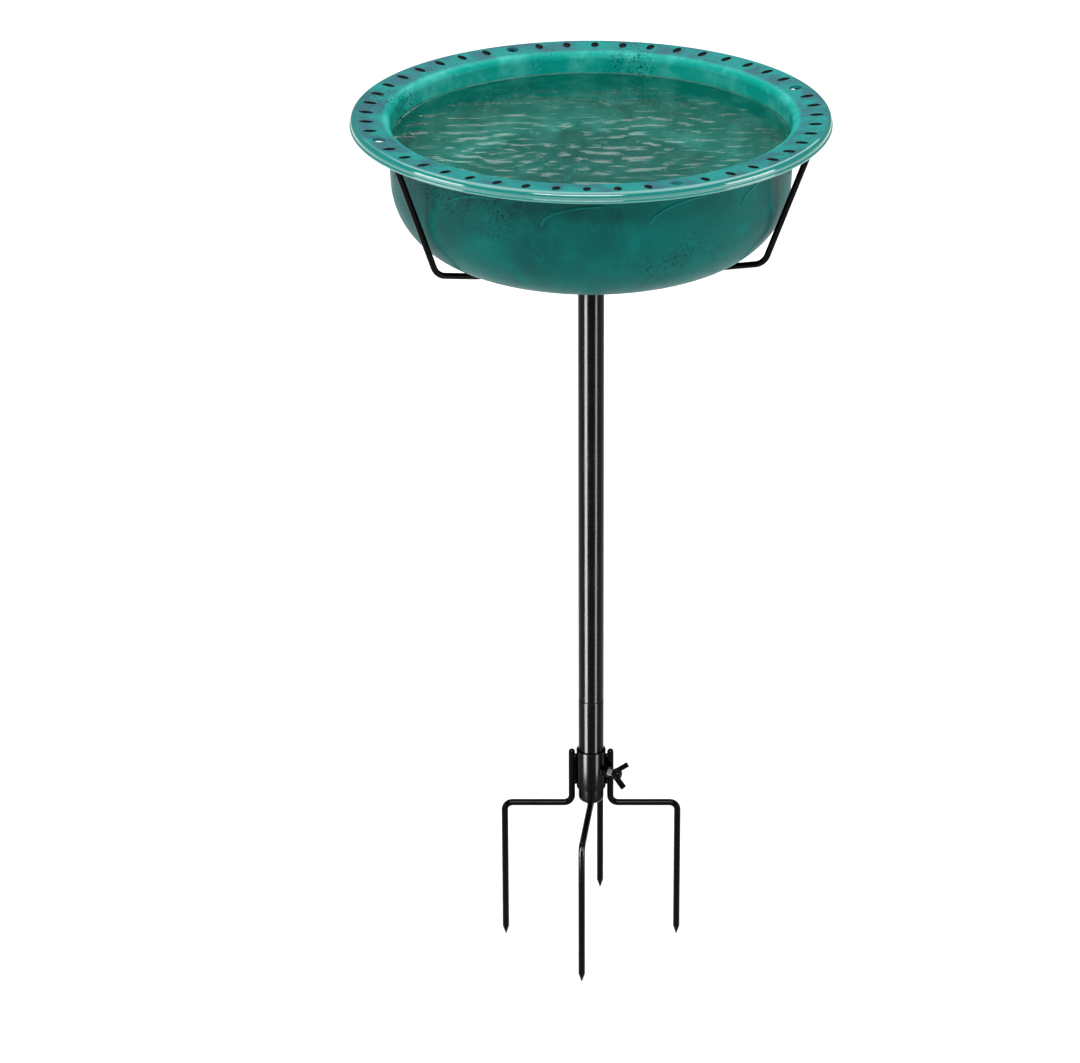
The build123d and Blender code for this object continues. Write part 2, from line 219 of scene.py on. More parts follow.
def moved(mesh: bpy.types.Mesh, places: np.ndarray) -> bpy.types.Mesh:
    """Put a mesh's vertices at new places and shade it again."""
    mesh.vertices.foreach_set("co", places.astype(np.float32).ravel())
    mesh.update()
    return smoothed(mesh)


def band(lower: list[int], upper: list[int]) -> list[Face]:
    """Join two rings of vertex numbers. A pole repeats one number, and a finer ring has a multiple.

    Args:
        lower: The ring that comes first along the outline.
        upper: The ring that comes next.

    Returns:
        The band's faces, each counter-clockwise from outside.
    """
    if len(lower) == len(upper):
        size = len(lower)
        ahead = [(i + 1) % size for i in range(size)]
        quads = [(lower[i], lower[j], upper[j], upper[i]) for i, j in enumerate(ahead)]
        return [tuple(dict.fromkeys(quad)) for quad in quads]
    coarse, fine = (lower, upper) if len(lower) < len(upper) else (upper, lower)
    ratio, size = len(fine) // len(coarse), len(coarse)
    switch = (ratio + 1) // 2
    faces: list[Face] = []
    for i in range(size):
        here, following = coarse[i], coarse[(i + 1) % size]
        faces.append((here, following, fine[i * ratio + switch]))
        for step in range(ratio):
            first = fine[i * ratio + step]
            second = fine[(i * ratio + step + 1) % len(fine)]
            faces.append((here if step < switch else following, second, first))
    return faces if coarse is lower else [tuple(reversed(face)) for face in faces]


def skinned(name: str, rings: list[np.ndarray], closed: bool = False) -> bpy.types.Mesh:
    """Join rings of points, each to the next, into a mesh.

    Args:
        name: The mesh's name.
        rings: The points of each ring. A ring of one point is a pole.
        closed: Whether the last ring joins the first.

    Returns:
        The mesh.
    """
    starts = np.cumsum([0] + [len(ring) for ring in rings]).tolist()
    numbers = [list(range(first, last)) for first, last in zip(starts, starts[1:])]
    following = numbers[1:] + (numbers[:1] if closed else [])
    faces: list[Face] = []
    for lower, upper in zip(numbers, following):
        size = max(len(lower), len(upper))
        lower, upper = (ring * size if len(ring) == 1 else ring for ring in (lower, upper))
        faces += band(lower, upper)
    return new_mesh(name, np.vstack(rings), faces)


def lathe(name: str, outline: np.ndarray, segments: int | list[int]) -> bpy.types.Mesh:
    """Spin an outline about the vertical axis.

    Args:
        name: The mesh's name.
        outline: Radius and height of each point, with the material on the left of its travel.
            An end on the axis becomes a pole, and an outline off the axis is closed on itself.
        segments: Number of steps round the axis, one for all or one for each point.

    Returns:
        A closed mesh.
    """
    counts = [segments] * len(outline) if isinstance(segments, int) else segments
    rings: list[np.ndarray] = []
    for (radius, height), count in zip(outline, counts):
        steps = 1 if radius < ON_AXIS else count
        angles = np.arange(steps) * FULL_TURN / count
        reach = radius if steps > 1 else 0.0
        level = np.full(steps, height)
        rings.append(np.stack([reach * np.cos(angles), reach * np.sin(angles), level], -1))
    return skinned(name, rings, closed=outline[0][0] > ON_AXIS)


def bar_end(
    radius: float, style: BarEnd, point: tuple[float, float], steps: int = 6
) -> list[tuple[float, float]]:
    """Return how far past a bar's end each closing ring lies, and its radius.

    Args:
        radius: The bar's radius.
        style: The end's finish.
        point: Length of a pencil point and the radius of its tip.
        steps: Rings in a dome.

    Returns:
        Distance past the end and radius of each ring, from the bar outwards.
    """
    if style is BarEnd.POINTED:
        (length, tip), (start, share) = point, POINT_SHOULDER
        tips = [(length - tip * back, tip * thin) for back, thin in TIP_ROUNDING]
        return [(length * start, radius * share), *tips]
    if style is BarEnd.DOMED:
        angles = [math.pi / 2 * (step + 1) / steps for step in range(steps - 1)]
        return [(radius * math.sin(a), radius * math.cos(a)) for a in angles] + [(radius, 0.0)]
    burr = radius * CUT_BURR
    return [(0.0, radius - burr), (burr / 2, radius - 2 * burr), (burr / 2, 0.0)]


def bar(
    name: str,
    path: np.ndarray,
    radius: float,
    ends: tuple[BarEnd, BarEnd],
    azimuth: float,
    point: tuple[float, float] = (0.0, 0.0),
    sides: int = 28,
) -> bpy.types.Mesh:
    """Sweep a round bar along a path in the upright plane through the axis at an azimuth.

    Args:
        name: The mesh's name.
        path: Radius and height of each path point.
        radius: The bar's radius.
        ends: Finish of the first and the last end.
        azimuth: Direction of the plane, in degrees from +X.
        point: Length of a pencil point and the radius of its tip.
        sides: Flats round the bar.

    Returns:
        A closed mesh.
    """
    runs = np.array([unit(run) for run in np.diff(path, axis=0)])
    along = np.array([unit(v) for v in np.vstack([runs[:1], runs[:-1] + runs[1:], runs[-1:]])])
    stations = [(here, way, radius) for here, way in zip(path, along)]
    for past, thin in bar_end(radius, ends[1], point):
        stations.append((path[-1] + along[-1] * past, along[-1], thin))
    for past, thin in bar_end(radius, ends[0], point):
        stations.insert(0, (path[0] - along[0] * past, along[0], thin))
    angles = np.arange(sides) * FULL_TURN / sides
    across = np.outer(np.sin(angles), (0.0, 1.0, 0.0))
    rings: list[np.ndarray] = []
    for here, way, thin in stations:
        centre = np.array([[here[0], 0.0, here[1]]])
        circle = np.outer(np.cos(angles), (way[1], 0.0, -way[0])) + across
        rings.append(centre + thin * circle if thin > 0 else centre)
    mesh = skinned(name, rings)
    mesh.transform(Matrix.Rotation(math.radians(azimuth), 4, "Z"))
    return mesh


def link(
    name: str, mesh: bpy.types.Mesh, material: bpy.types.Material | None = None
) -> bpy.types.Object:
    """Put a mesh in the scene as an object at the origin, with one material."""
    piece = bpy.data.objects.new(name, mesh)
    bpy.context.scene.collection.objects.link(piece)
    if material is not None:
        mesh.materials.clear()
        mesh.materials.append(material)
    return piece


def joined(name: str, meshes: list[bpy.types.Mesh]) -> bpy.types.Mesh:
    """Gather closed meshes into one, each still a closed body of its own."""
    points: list[np.ndarray] = []
    faces: list[Face] = []
    for mesh in meshes:
        start = len(points)
        points.extend(places_of(mesh))
        faces.extend(tuple(start + i for i in polygon.vertices) for polygon in mesh.polygons)
    return new_mesh(name, np.array(points), faces)


def baked(
    name: str, carrier: bpy.types.Object, material: bpy.types.Material
) -> bpy.types.Object:
    """Turn an object with live modifiers into a plain piece and remove the carrier.

    Args:
        name: The finished piece's name.
        carrier: The object that holds the modifiers.
        material: The finish of the piece.

    Returns:
        The plain piece.
    """
    graph = bpy.context.evaluated_depsgraph_get()
    mesh = bpy.data.meshes.new_from_object(carrier.evaluated_get(graph), depsgraph=graph)
    bpy.data.objects.remove(carrier)
    mesh.name = name
    return link(name, smoothed(mesh), material)


# ---------------------------------------------------------------- node trees


@dataclass
class Wiring:
    """Adds nodes to a shader or geometry tree and joins them as it goes."""

    tree: bpy.types.NodeTree

    def add(
        self, kind: str, *inputs: object, named: dict[str, object] | None = None, **settings: object
    ) -> bpy.types.Node:
        """Add a node, give it settings and fill its inputs.

        Args:
            kind: The node's type name.
            inputs: A value or an output socket for each live input in order, or None to leave it.
            named: A value or an output socket for each of the live inputs with these names.
            settings: Properties of the node.

        Returns:
            The new node.
        """
        node = self.tree.nodes.new(kind)
        for key, value in settings.items():
            setattr(node, key, value)
        live = [socket for socket in node.inputs if socket.enabled]
        for socket, value in zip(live, inputs):
            self.fill(socket, value)
        for name, value in (named or {}).items():
            self.fill(next(socket for socket in live if socket.name == name), value)
        return node

    def fill(self, socket: bpy.types.NodeSocket, value: object) -> None:
        """Give an input a value, or join it to an output socket."""
        if isinstance(value, bpy.types.NodeSocket):
            self.tree.links.new(value, socket)
        elif value is not None:
            socket.default_value = value

    def maths(self, operation: str, *inputs: object, clamp: bool = False) -> bpy.types.NodeSocket:
        """Add a maths node and return its value."""
        return self.add("ShaderNodeMath", *inputs, operation=operation, use_clamp=clamp).outputs[0]

    def product(self, *factors: object) -> bpy.types.NodeSocket:
        """Multiply two or more values together."""
        return reduce(lambda first, second: self.maths("MULTIPLY", first, second), factors)

    def square_sum(self, first: object, second: object) -> bpy.types.NodeSocket:
        """Add the squares of two values."""
        return self.maths("ADD", self.product(first, first), self.product(second, second))

    def length(self, x: object, y: object) -> bpy.types.NodeSocket:
        """Return the length of a level vector."""
        return self.maths("SQRT", self.square_sum(x, y))

    def vector(self, x: object, y: object, z: object) -> bpy.types.NodeSocket:
        """Gather three values into a vector."""
        return self.add("ShaderNodeCombineXYZ", x, y, z).outputs[0]

    def ramp(
        self, value: object, low: float, high: float, first: float = 0.0, last: float = 1.0
    ) -> bpy.types.NodeSocket:
        """Map a value smoothly from one range to another, clamped at both ends."""
        spans = (value, low, high, first, last)
        return self.add("ShaderNodeMapRange", *spans, interpolation_type="SMOOTHSTEP").outputs[0]

    def blend(self, share: object, first: object, second: object) -> bpy.types.NodeSocket:
        """Mix two colours by a share from zero to one."""
        node = self.tree.nodes.new("ShaderNodeMix")
        node.data_type = "RGBA"
        for name, value in (("Factor_Float", share), ("A_Color", first), ("B_Color", second)):
            self.fill(next(s for s in node.inputs if s.identifier == name), value)
        return next(s for s in node.outputs if s.identifier == "Result_Color")

    def noise(
        self, where: object, scale: object, detail: float = 3.0, rough: float = 0.5
    ) -> bpy.types.NodeSocket:
        """Add fractal noise whose grains are a metre over its scale across, and return its value."""
        named = {"Vector": where, "Scale": scale, "Detail": detail, "Roughness": rough}
        return self.add("ShaderNodeTexNoise", named=named).outputs["Fac"]


@dataclass
class Shade(Wiring):
    """A material's tree, with the shader's sockets by name."""

    shader: bpy.types.Node = field(init=False)
    where: bpy.types.NodeSocket = field(init=False)

    @classmethod
    def start(cls, name: str) -> tuple[bpy.types.Material, "Shade"]:
        """Make a material with a plain principled shader and object coordinates."""
        material = bpy.data.materials.new(name)
        material.use_nodes = True
        shade = cls(material.node_tree)
        shade.shader = material.node_tree.nodes["Principled BSDF"]
        shade.where = shade.add("ShaderNodeTexCoord").outputs["Object"]
        return material, shade

    def set(self, **sockets: object) -> None:
        """Fill the shader's sockets. Underscores in a name stand for spaces."""
        for name, value in sockets.items():
            self.fill(self.shader.inputs[name.replace("_", " ")], value)

    def bump(
        self, height: object, distance: float, below: object = None
    ) -> bpy.types.NodeSocket:
        """Add a bump of a depth in metres over an optional lower bump, and return the normal."""
        named = {"Distance": distance, "Height": height, "Normal": below}
        return self.add("ShaderNodeBump", named=named).outputs["Normal"]


class Recipe:
    """A geometry tree with named inputs, which ends by realising its instances and setting a finish."""

    def __init__(self, name: str, inputs: dict[str, object], material: bpy.types.Material) -> None:
        """Open the tree.

        Args:
            name: The tree's name.
            inputs: The value of each named input: a float, an int or a vector.
            material: The finish that the tree sets at its end.
        """
        kinds = {float: "NodeSocketFloat", int: "NodeSocketInt", tuple: "NodeSocketVector"}
        self.tree = bpy.data.node_groups.new(name, "GeometryNodeTree")
        self.wiring = Wiring(self.tree)
        self.material = material
        self.values: dict[str, object] = {}
        for way in ("INPUT", "OUTPUT"):
            self.tree.interface.new_socket("Geometry", in_out=way, socket_type="NodeSocketGeometry")
        for label, value in inputs.items():
            kind = kinds[type(value)]
            socket = self.tree.interface.new_socket(label, in_out="INPUT", socket_type=kind)
            self.values[socket.identifier] = value
        self.entry = self.tree.nodes.new("NodeGroupInput")

    def given(self, label: str) -> bpy.types.NodeSocket:
        """Return the output socket of a named input."""
        return self.entry.outputs[label]

    def close(self, geometry: bpy.types.NodeSocket) -> None:
        """Realise the geometry's instances, set its finish and send it out."""
        real = self.wiring.add("GeometryNodeRealizeInstances", geometry).outputs[0]
        dressed = self.wiring.add("GeometryNodeSetMaterial", real, named={"Material": self.material})
        self.wiring.add("NodeGroupOutput", dressed.outputs[0])

    def put_on(self, carrier: bpy.types.Object) -> None:
        """Add the tree to an object as a modifier with its inputs set."""
        modifier = carrier.modifiers.new(self.tree.name, "NODES")
        modifier.node_group = self.tree
        for identifier, value in self.values.items():
            modifier[identifier] = value


# ---------------------------------------------------------------- finishes


@dataclass(frozen=True)
class Enamel:
    """Black stoved enamel on steel: deep gloss with orange peel and fine dust nibs."""

    name: str = "black_gloss_enamel"
    body: Colour = srgb(0, 0, 0)
    rubbed: Colour = srgb(9, 9, 10)
    peel_scale: float = 620.0
    peel_depth: float = 0.008 * MM
    nib_scale: float = 2600.0
    nib_range: tuple[float, float] = (0.70, 0.78)
    nib_strength: float = 0.35
    cloud_scale: float = 40.0
    cloud_range: tuple[float, float] = (0.3, 0.72)
    gloss: tuple[float, float] = (0.14, 0.22)

    def material(self) -> bpy.types.Material:
        """Build the material."""
        material, shade = Shade.start(self.name)
        peel = shade.noise(shade.where, self.peel_scale, 2.0)
        cloud = shade.noise(shade.where, self.cloud_scale, 5.0, 0.6)
        nibs = shade.ramp(shade.noise(shade.where, self.nib_scale, 2.0), *self.nib_range)
        colour = shade.blend(shade.product(nibs, self.nib_strength), self.body, self.rubbed)
        low = shade.bump(peel, self.peel_depth)
        shade.set(
            Base_Color=colour,
            Roughness=shade.ramp(cloud, *self.cloud_range, *self.gloss),
            Specular_IOR_Level=0.06,
            Normal=shade.bump(nibs, self.peel_depth, low),
        )
        return material


@dataclass(frozen=True)
class Zinc:
    """Bright zinc plate on turned steel: fine turning lines, cloudy passivation and dull spots."""

    name: str = "bright_zinc_plate"
    bright: Colour = srgb(196, 200, 204)
    dull: Colour = srgb(128, 133, 138)
    cloud_scale: float = 160.0
    tone_range: tuple[float, float] = (0.35, 0.65)
    gloss_range: tuple[float, float] = (0.3, 0.7)
    gloss: tuple[float, float] = (0.42, 0.26)
    line_scale: float = 5200.0
    line_depth: float = 0.012 * MM

    def material(self) -> bpy.types.Material:
        """Build the material."""
        material, shade = Shade.start(self.name)
        cloud = shade.noise(shade.where, self.cloud_scale, 6.0, 0.65)
        lines = shade.noise(shade.where, self.line_scale, 1.0)
        shade.set(
            Base_Color=shade.blend(shade.ramp(cloud, *self.tone_range), self.dull, self.bright),
            Metallic=1.0,
            Roughness=shade.ramp(cloud, *self.gloss_range, *self.gloss),
            Normal=shade.bump(lines, self.line_depth),
        )
        return material


@dataclass(frozen=True)
class Patina:
    """Teal moulded plastic with a rubbed patina.

    Cloudy greens cover the wall, a blue-grey bloom lies on the rim, and dark speckle gathers in
    patches. The inside of the wall is painted lighter than the outside as painted light, and the finger
    notches are painted near-black as painted shade. Each range is the span of a noise over which one
    look gives way to the next.
    """

    rim_from: float
    lip_from: float
    name: str = "teal_patina_plastic"
    recess: str = "recess"
    deep: Colour = srgb(0, 70, 68)
    teal: Colour = srgb(0, 88, 83)
    fresh: Colour = srgb(0, 108, 100)
    # Painted light: the inside of the wall is painted lighter than the outside, its fresh tone whitish as a
    # painted highlight.
    inside_painted_light_teal: Colour = srgb(8, 146, 134)
    inside_painted_light_fresh: Colour = srgb(60, 168, 158)
    rim_teal: Colour = srgb(20, 122, 118)
    lip_teal: Colour = srgb(2, 120, 112)
    bloom: Colour = srgb(44, 88, 100)
    speckle: Colour = srgb(4, 22, 34)
    # Painted shade: near-black laid in the finger notches in place of the shade inside them.
    notch_painted_shade: Colour = srgb(1, 6, 8)
    fade: float = 5 * MM
    rim_cover: float = 0.9
    cloud_scale: float = 13.0
    cloud_range: tuple[float, float] = (0.36, 0.64)
    mottle_scale: float = 48.0
    fresh_range: tuple[float, float] = (0.45, 0.72)
    fresh_strength: float = 0.45
    inside_range: tuple[float, float] = (0.40, 0.66)
    bloom_range: tuple[float, float] = (0.38, 0.58)
    patch_scale: float = 14.0
    patch_range: tuple[float, float] = (0.50, 0.64)
    grain_scale: float = 560.0
    speck_range: tuple[float, float] = (0.51, 0.61)
    speck_strength: float = 0.85
    fleck_scale: float = 900.0
    fleck_range: tuple[float, float] = (0.66, 0.72)
    fleck_strength: float = 0.6
    # How far the notch mask must rise before the painted shade in the notches is full.
    notch_painted_shade_from: float = 0.12
    wave_scale: float = 120.0
    wave_depth: float = 0.05 * MM
    grain_depth: float = 0.02 * MM
    gloss_range: tuple[float, float] = (0.3, 0.7)
    gloss: tuple[float, float] = (0.36, 0.50)
    coat: tuple[float, float] = (0.03, 1.0)
    facing_range: tuple[float, float] = (-0.02, 0.02)

    def material(self) -> bpy.types.Material:
        """Build the material."""
        material, shade = Shade.start(self.name)
        parts = shade.add("ShaderNodeSeparateXYZ", shade.where)
        radius = shade.length(parts.outputs["X"], parts.outputs["Y"])
        rim = shade.ramp(radius, self.rim_from, self.rim_from + self.fade)
        lip = shade.ramp(radius, self.lip_from, self.lip_from + self.fade / 3)
        mottle = shade.noise(shade.where, self.mottle_scale, 7.0, 0.62)
        grain = shade.noise(shade.where, self.grain_scale, 5.0, 0.7)
        top = shade.blend(shade.ramp(mottle, *self.bloom_range), self.bloom, self.rim_teal)
        colour = shade.blend(shade.product(rim, self.rim_cover), self.wall(shade, mottle), top)
        colour = shade.blend(shade.product(lip, self.rim_cover), colour, self.lip_teal)
        colour = shade.blend(self.specks(shade, grain, lip), colour, self.speckle)
        # The notch mask: where the rim is pressed in, the colour turns to painted shade and the coat is
        # taken off.
        recess = shade.add("ShaderNodeAttribute", attribute_name=self.recess).outputs["Fac"]
        pressed = shade.ramp(recess, 0.0, self.notch_painted_shade_from)
        low = shade.bump(shade.noise(shade.where, self.wave_scale, 3.0), self.wave_depth)
        polish = shade.ramp(lip, 0.0, 1.0, *self.coat)
        shade.set(
            # Painted shade in the finger notches.
            Base_Color=shade.blend(pressed, colour, self.notch_painted_shade),
            Roughness=shade.ramp(mottle, *self.gloss_range, *self.gloss),
            Normal=shade.bump(grain, self.grain_depth, low),
            Specular_IOR_Level=0.04,
            Coat_Weight=shade.product(polish, shade.maths("SUBTRACT", 1.0, pressed)),
            Coat_Roughness=0.07,
            Coat_IOR=1.8,
        )
        return material

    def wall(self, shade: Shade, mottle: bpy.types.NodeSocket) -> bpy.types.NodeSocket:
        """Return the colour of the sheet below the rim: painted light makes it lighter inside than outside.
        """
        cloud = shade.ramp(shade.noise(shade.where, self.cloud_scale, 4.0, 0.55), *self.cloud_range)
        patchy = shade.product(shade.ramp(mottle, *self.fresh_range), self.fresh_strength)
        outer = shade.blend(patchy, shade.blend(cloud, self.deep, self.teal), self.fresh)
        inside = shade.ramp(mottle, *self.inside_range)
        inner = shade.blend(inside, self.inside_painted_light_teal, self.inside_painted_light_fresh)
        # Painted light and shade: faces that look at the axis take the lighter inside colours, the others
        # the darker outside ones.
        return shade.blend(self.outward(shade), inner, outer)

    def specks(
        self, shade: Shade, grain: bpy.types.NodeSocket, lip: bpy.types.NodeSocket
    ) -> bpy.types.NodeSocket:
        """Return the cover of dark specks: thick in patches off the lip, and sparse elsewhere."""
        patches = shade.ramp(shade.noise(shade.where, self.patch_scale, 3.0), *self.patch_range)
        off_lip = shade.maths("SUBTRACT", 1.0, lip)
        thick = shade.product(shade.ramp(grain, *self.speck_range), patches, off_lip, self.speck_strength)
        fine = shade.noise(shade.where, self.fleck_scale, 3.0, 0.6)
        flecks = shade.ramp(fine, *self.fleck_range, 0.0, self.fleck_strength)
        return shade.maths("MAXIMUM", thick, flecks)

    def outward(self, shade: Shade) -> bpy.types.NodeSocket:
        """Return one on faces that look away from the bowl's axis and zero on those that look at it."""
        level = (1.0, 1.0, 0.0)
        flat = shade.add("ShaderNodeVectorMath", shade.where, level, operation="MULTIPLY").outputs[0]
        normal = shade.where.node.outputs["Normal"]
        facing = shade.add("ShaderNodeVectorMath", flat, normal, operation="DOT_PRODUCT")
        return shade.ramp(facing.outputs["Value"], *self.facing_range)


@dataclass(frozen=True)
class PondWater:
    """Still clear water with a faint green cast and wind riffle."""

    name: str = "clear_water"
    tint: Colour = srgb(206, 232, 224)
    riffle_scale: float = 30.0
    riffle_stretch: tuple[float, float, float] = (1.0, 2.6, 1.0)
    riffle_depth: float = 1.1 * MM

    def material(self) -> bpy.types.Material:
        """Build the material."""
        material, shade = Shade.start(self.name)
        stretched = shade.add("ShaderNodeMapping", shade.where, named={"Scale": self.riffle_stretch})
        riffle = shade.noise(stretched.outputs[0], self.riffle_scale, 4.0, 0.5)
        shade.set(
            Base_Color=self.tint,
            Roughness=0.03,
            IOR=1.333,
            Transmission_Weight=1.0,
            Normal=shade.bump(riffle, self.riffle_depth),
        )
        return material


@dataclass(frozen=True)
class PaleFloor:
    """Matt pale studio floor with the faintest paper grain."""

    name: str = "pale_studio_floor"
    light: Colour = grey(248)
    shade_level: Colour = grey(244)

    def material(self) -> bpy.types.Material:
        """Build the material."""
        material, shade = Shade.start(self.name)
        grain = shade.noise(shade.where, 3.0, 3.0)
        colour = shade.blend(grain, self.shade_level, self.light)
        shade.set(Base_Color=colour, Roughness=0.9, Specular_IOR_Level=0.1)
        return material


@dataclass(frozen=True)
class Finish:
    """A material, and the record's slot that it fills if the piece is a manufactured one."""

    material: bpy.types.Material
    slot: Slot | None = None


@dataclass(frozen=True)
class Finishes:
    """The finishes that the sub-assemblies share."""

    enamel: Finish
    zinc: Finish


def install(
    piece: bpy.types.Object | bpy.types.Mesh, finish: Finish, body: Body, *nodes: str
) -> None:
    """Let a finished piece ride on its body and stand for its nodes.

    Args:
        piece: The finished piece, or a mesh that becomes one of the same name.
        finish: Its finish.
        body: The body that it moves with.
        nodes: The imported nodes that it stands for.
    """
    if isinstance(piece, bpy.types.Mesh):
        piece = link(piece.name, piece, finish.material)
    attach(piece, body.value)
    if nodes:
        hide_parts(*nodes)
    LOG.info("%s: %d faces on %s", piece.name, len(piece.data.polygons), body.value)


@dataclass(frozen=True)
class Turned:
    """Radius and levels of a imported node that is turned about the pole's axis."""

    radius: float
    foot: float
    top: float

    @classmethod
    def of(cls, node: str) -> "Turned":
        """Read them from the node's box."""
        low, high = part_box(node)
        return cls((high.x - low.x) / 2, low.z, high.z)

    def tube(self, wall: float, edge: float) -> np.ndarray:
        """Return the outline of a tube of this size, with its end edges rolled over.

        Args:
            wall: The tube's wall.
            edge: Radius of the end edges.

        Returns:
            Radius and height of each point of the closed outline.
        """
        bore, middle = self.radius - wall, (self.foot + self.top) / 2
        foot = [(bore, middle), (bore, self.foot), (self.radius, self.foot)]
        top = [(self.radius, self.top), (bore, self.top), (bore, middle + MM)]
        return turned_outline(foot + top, edge)


# ---------------------------------------------------------------- weld beads


@dataclass
class WeldBeads:
    """Rippled beads of weld metal, one at each given place."""

    places: list[tuple[float, float, float]]
    radius: float
    ripple: float = 0.16 * MM
    ripple_scale: float = 1400.0
    seed: int = 7
    fineness: int = 4

    def piece(self, name: str, material: bpy.types.Material) -> bpy.types.Object:
        """Build the beads.

        Args:
            name: The piece's name.
            material: Its material.

        Returns:
            One plain object with a closed body for each bead.
        """
        inputs = {
            "Bead Radius": self.radius,
            "Ripple": self.ripple,
            "Ripple Scale": self.ripple_scale,
            "Seed": self.seed,
            "Fineness": self.fineness,
        }
        recipe = Recipe(name + "_recipe", inputs, material)
        wires, given = recipe.wiring, recipe.given
        ball = wires.add("GeometryNodeMeshIcoSphere", given("Bead Radius"), given("Fineness"))
        full = {"Max": (FULL_TURN,) * 3, "Seed": given("Seed")}
        turn = wires.add("FunctionNodeRandomValue", named=full, data_type="FLOAT_VECTOR").outputs[0]
        copies = {"Instance": ball.outputs["Mesh"], "Rotation": turn}
        spread = wires.add("GeometryNodeInstanceOnPoints", given("Geometry"), named=copies)
        real = wires.add("GeometryNodeRealizeInstances", spread.outputs[0]).outputs[0]
        rough = wires.noise(None, given("Ripple Scale"), 2.0)
        lift = wires.product(wires.maths("SUBTRACT", rough, 0.5), given("Ripple"))
        normal = wires.add("GeometryNodeInputNormal").outputs[0]
        push = wires.add("ShaderNodeVectorMath", normal, named={"Scale": lift}, operation="SCALE")
        shifted = wires.add("GeometryNodeSetPosition", real, named={"Offset": push.outputs[0]})
        recipe.close(shifted.outputs[0])
        carrier = link(name + "_carrier", new_mesh(name + "_places", np.array(self.places), []))
        recipe.put_on(carrier)
        return baked(name, carrier, material)


# ---------------------------------------------------------------- bowl


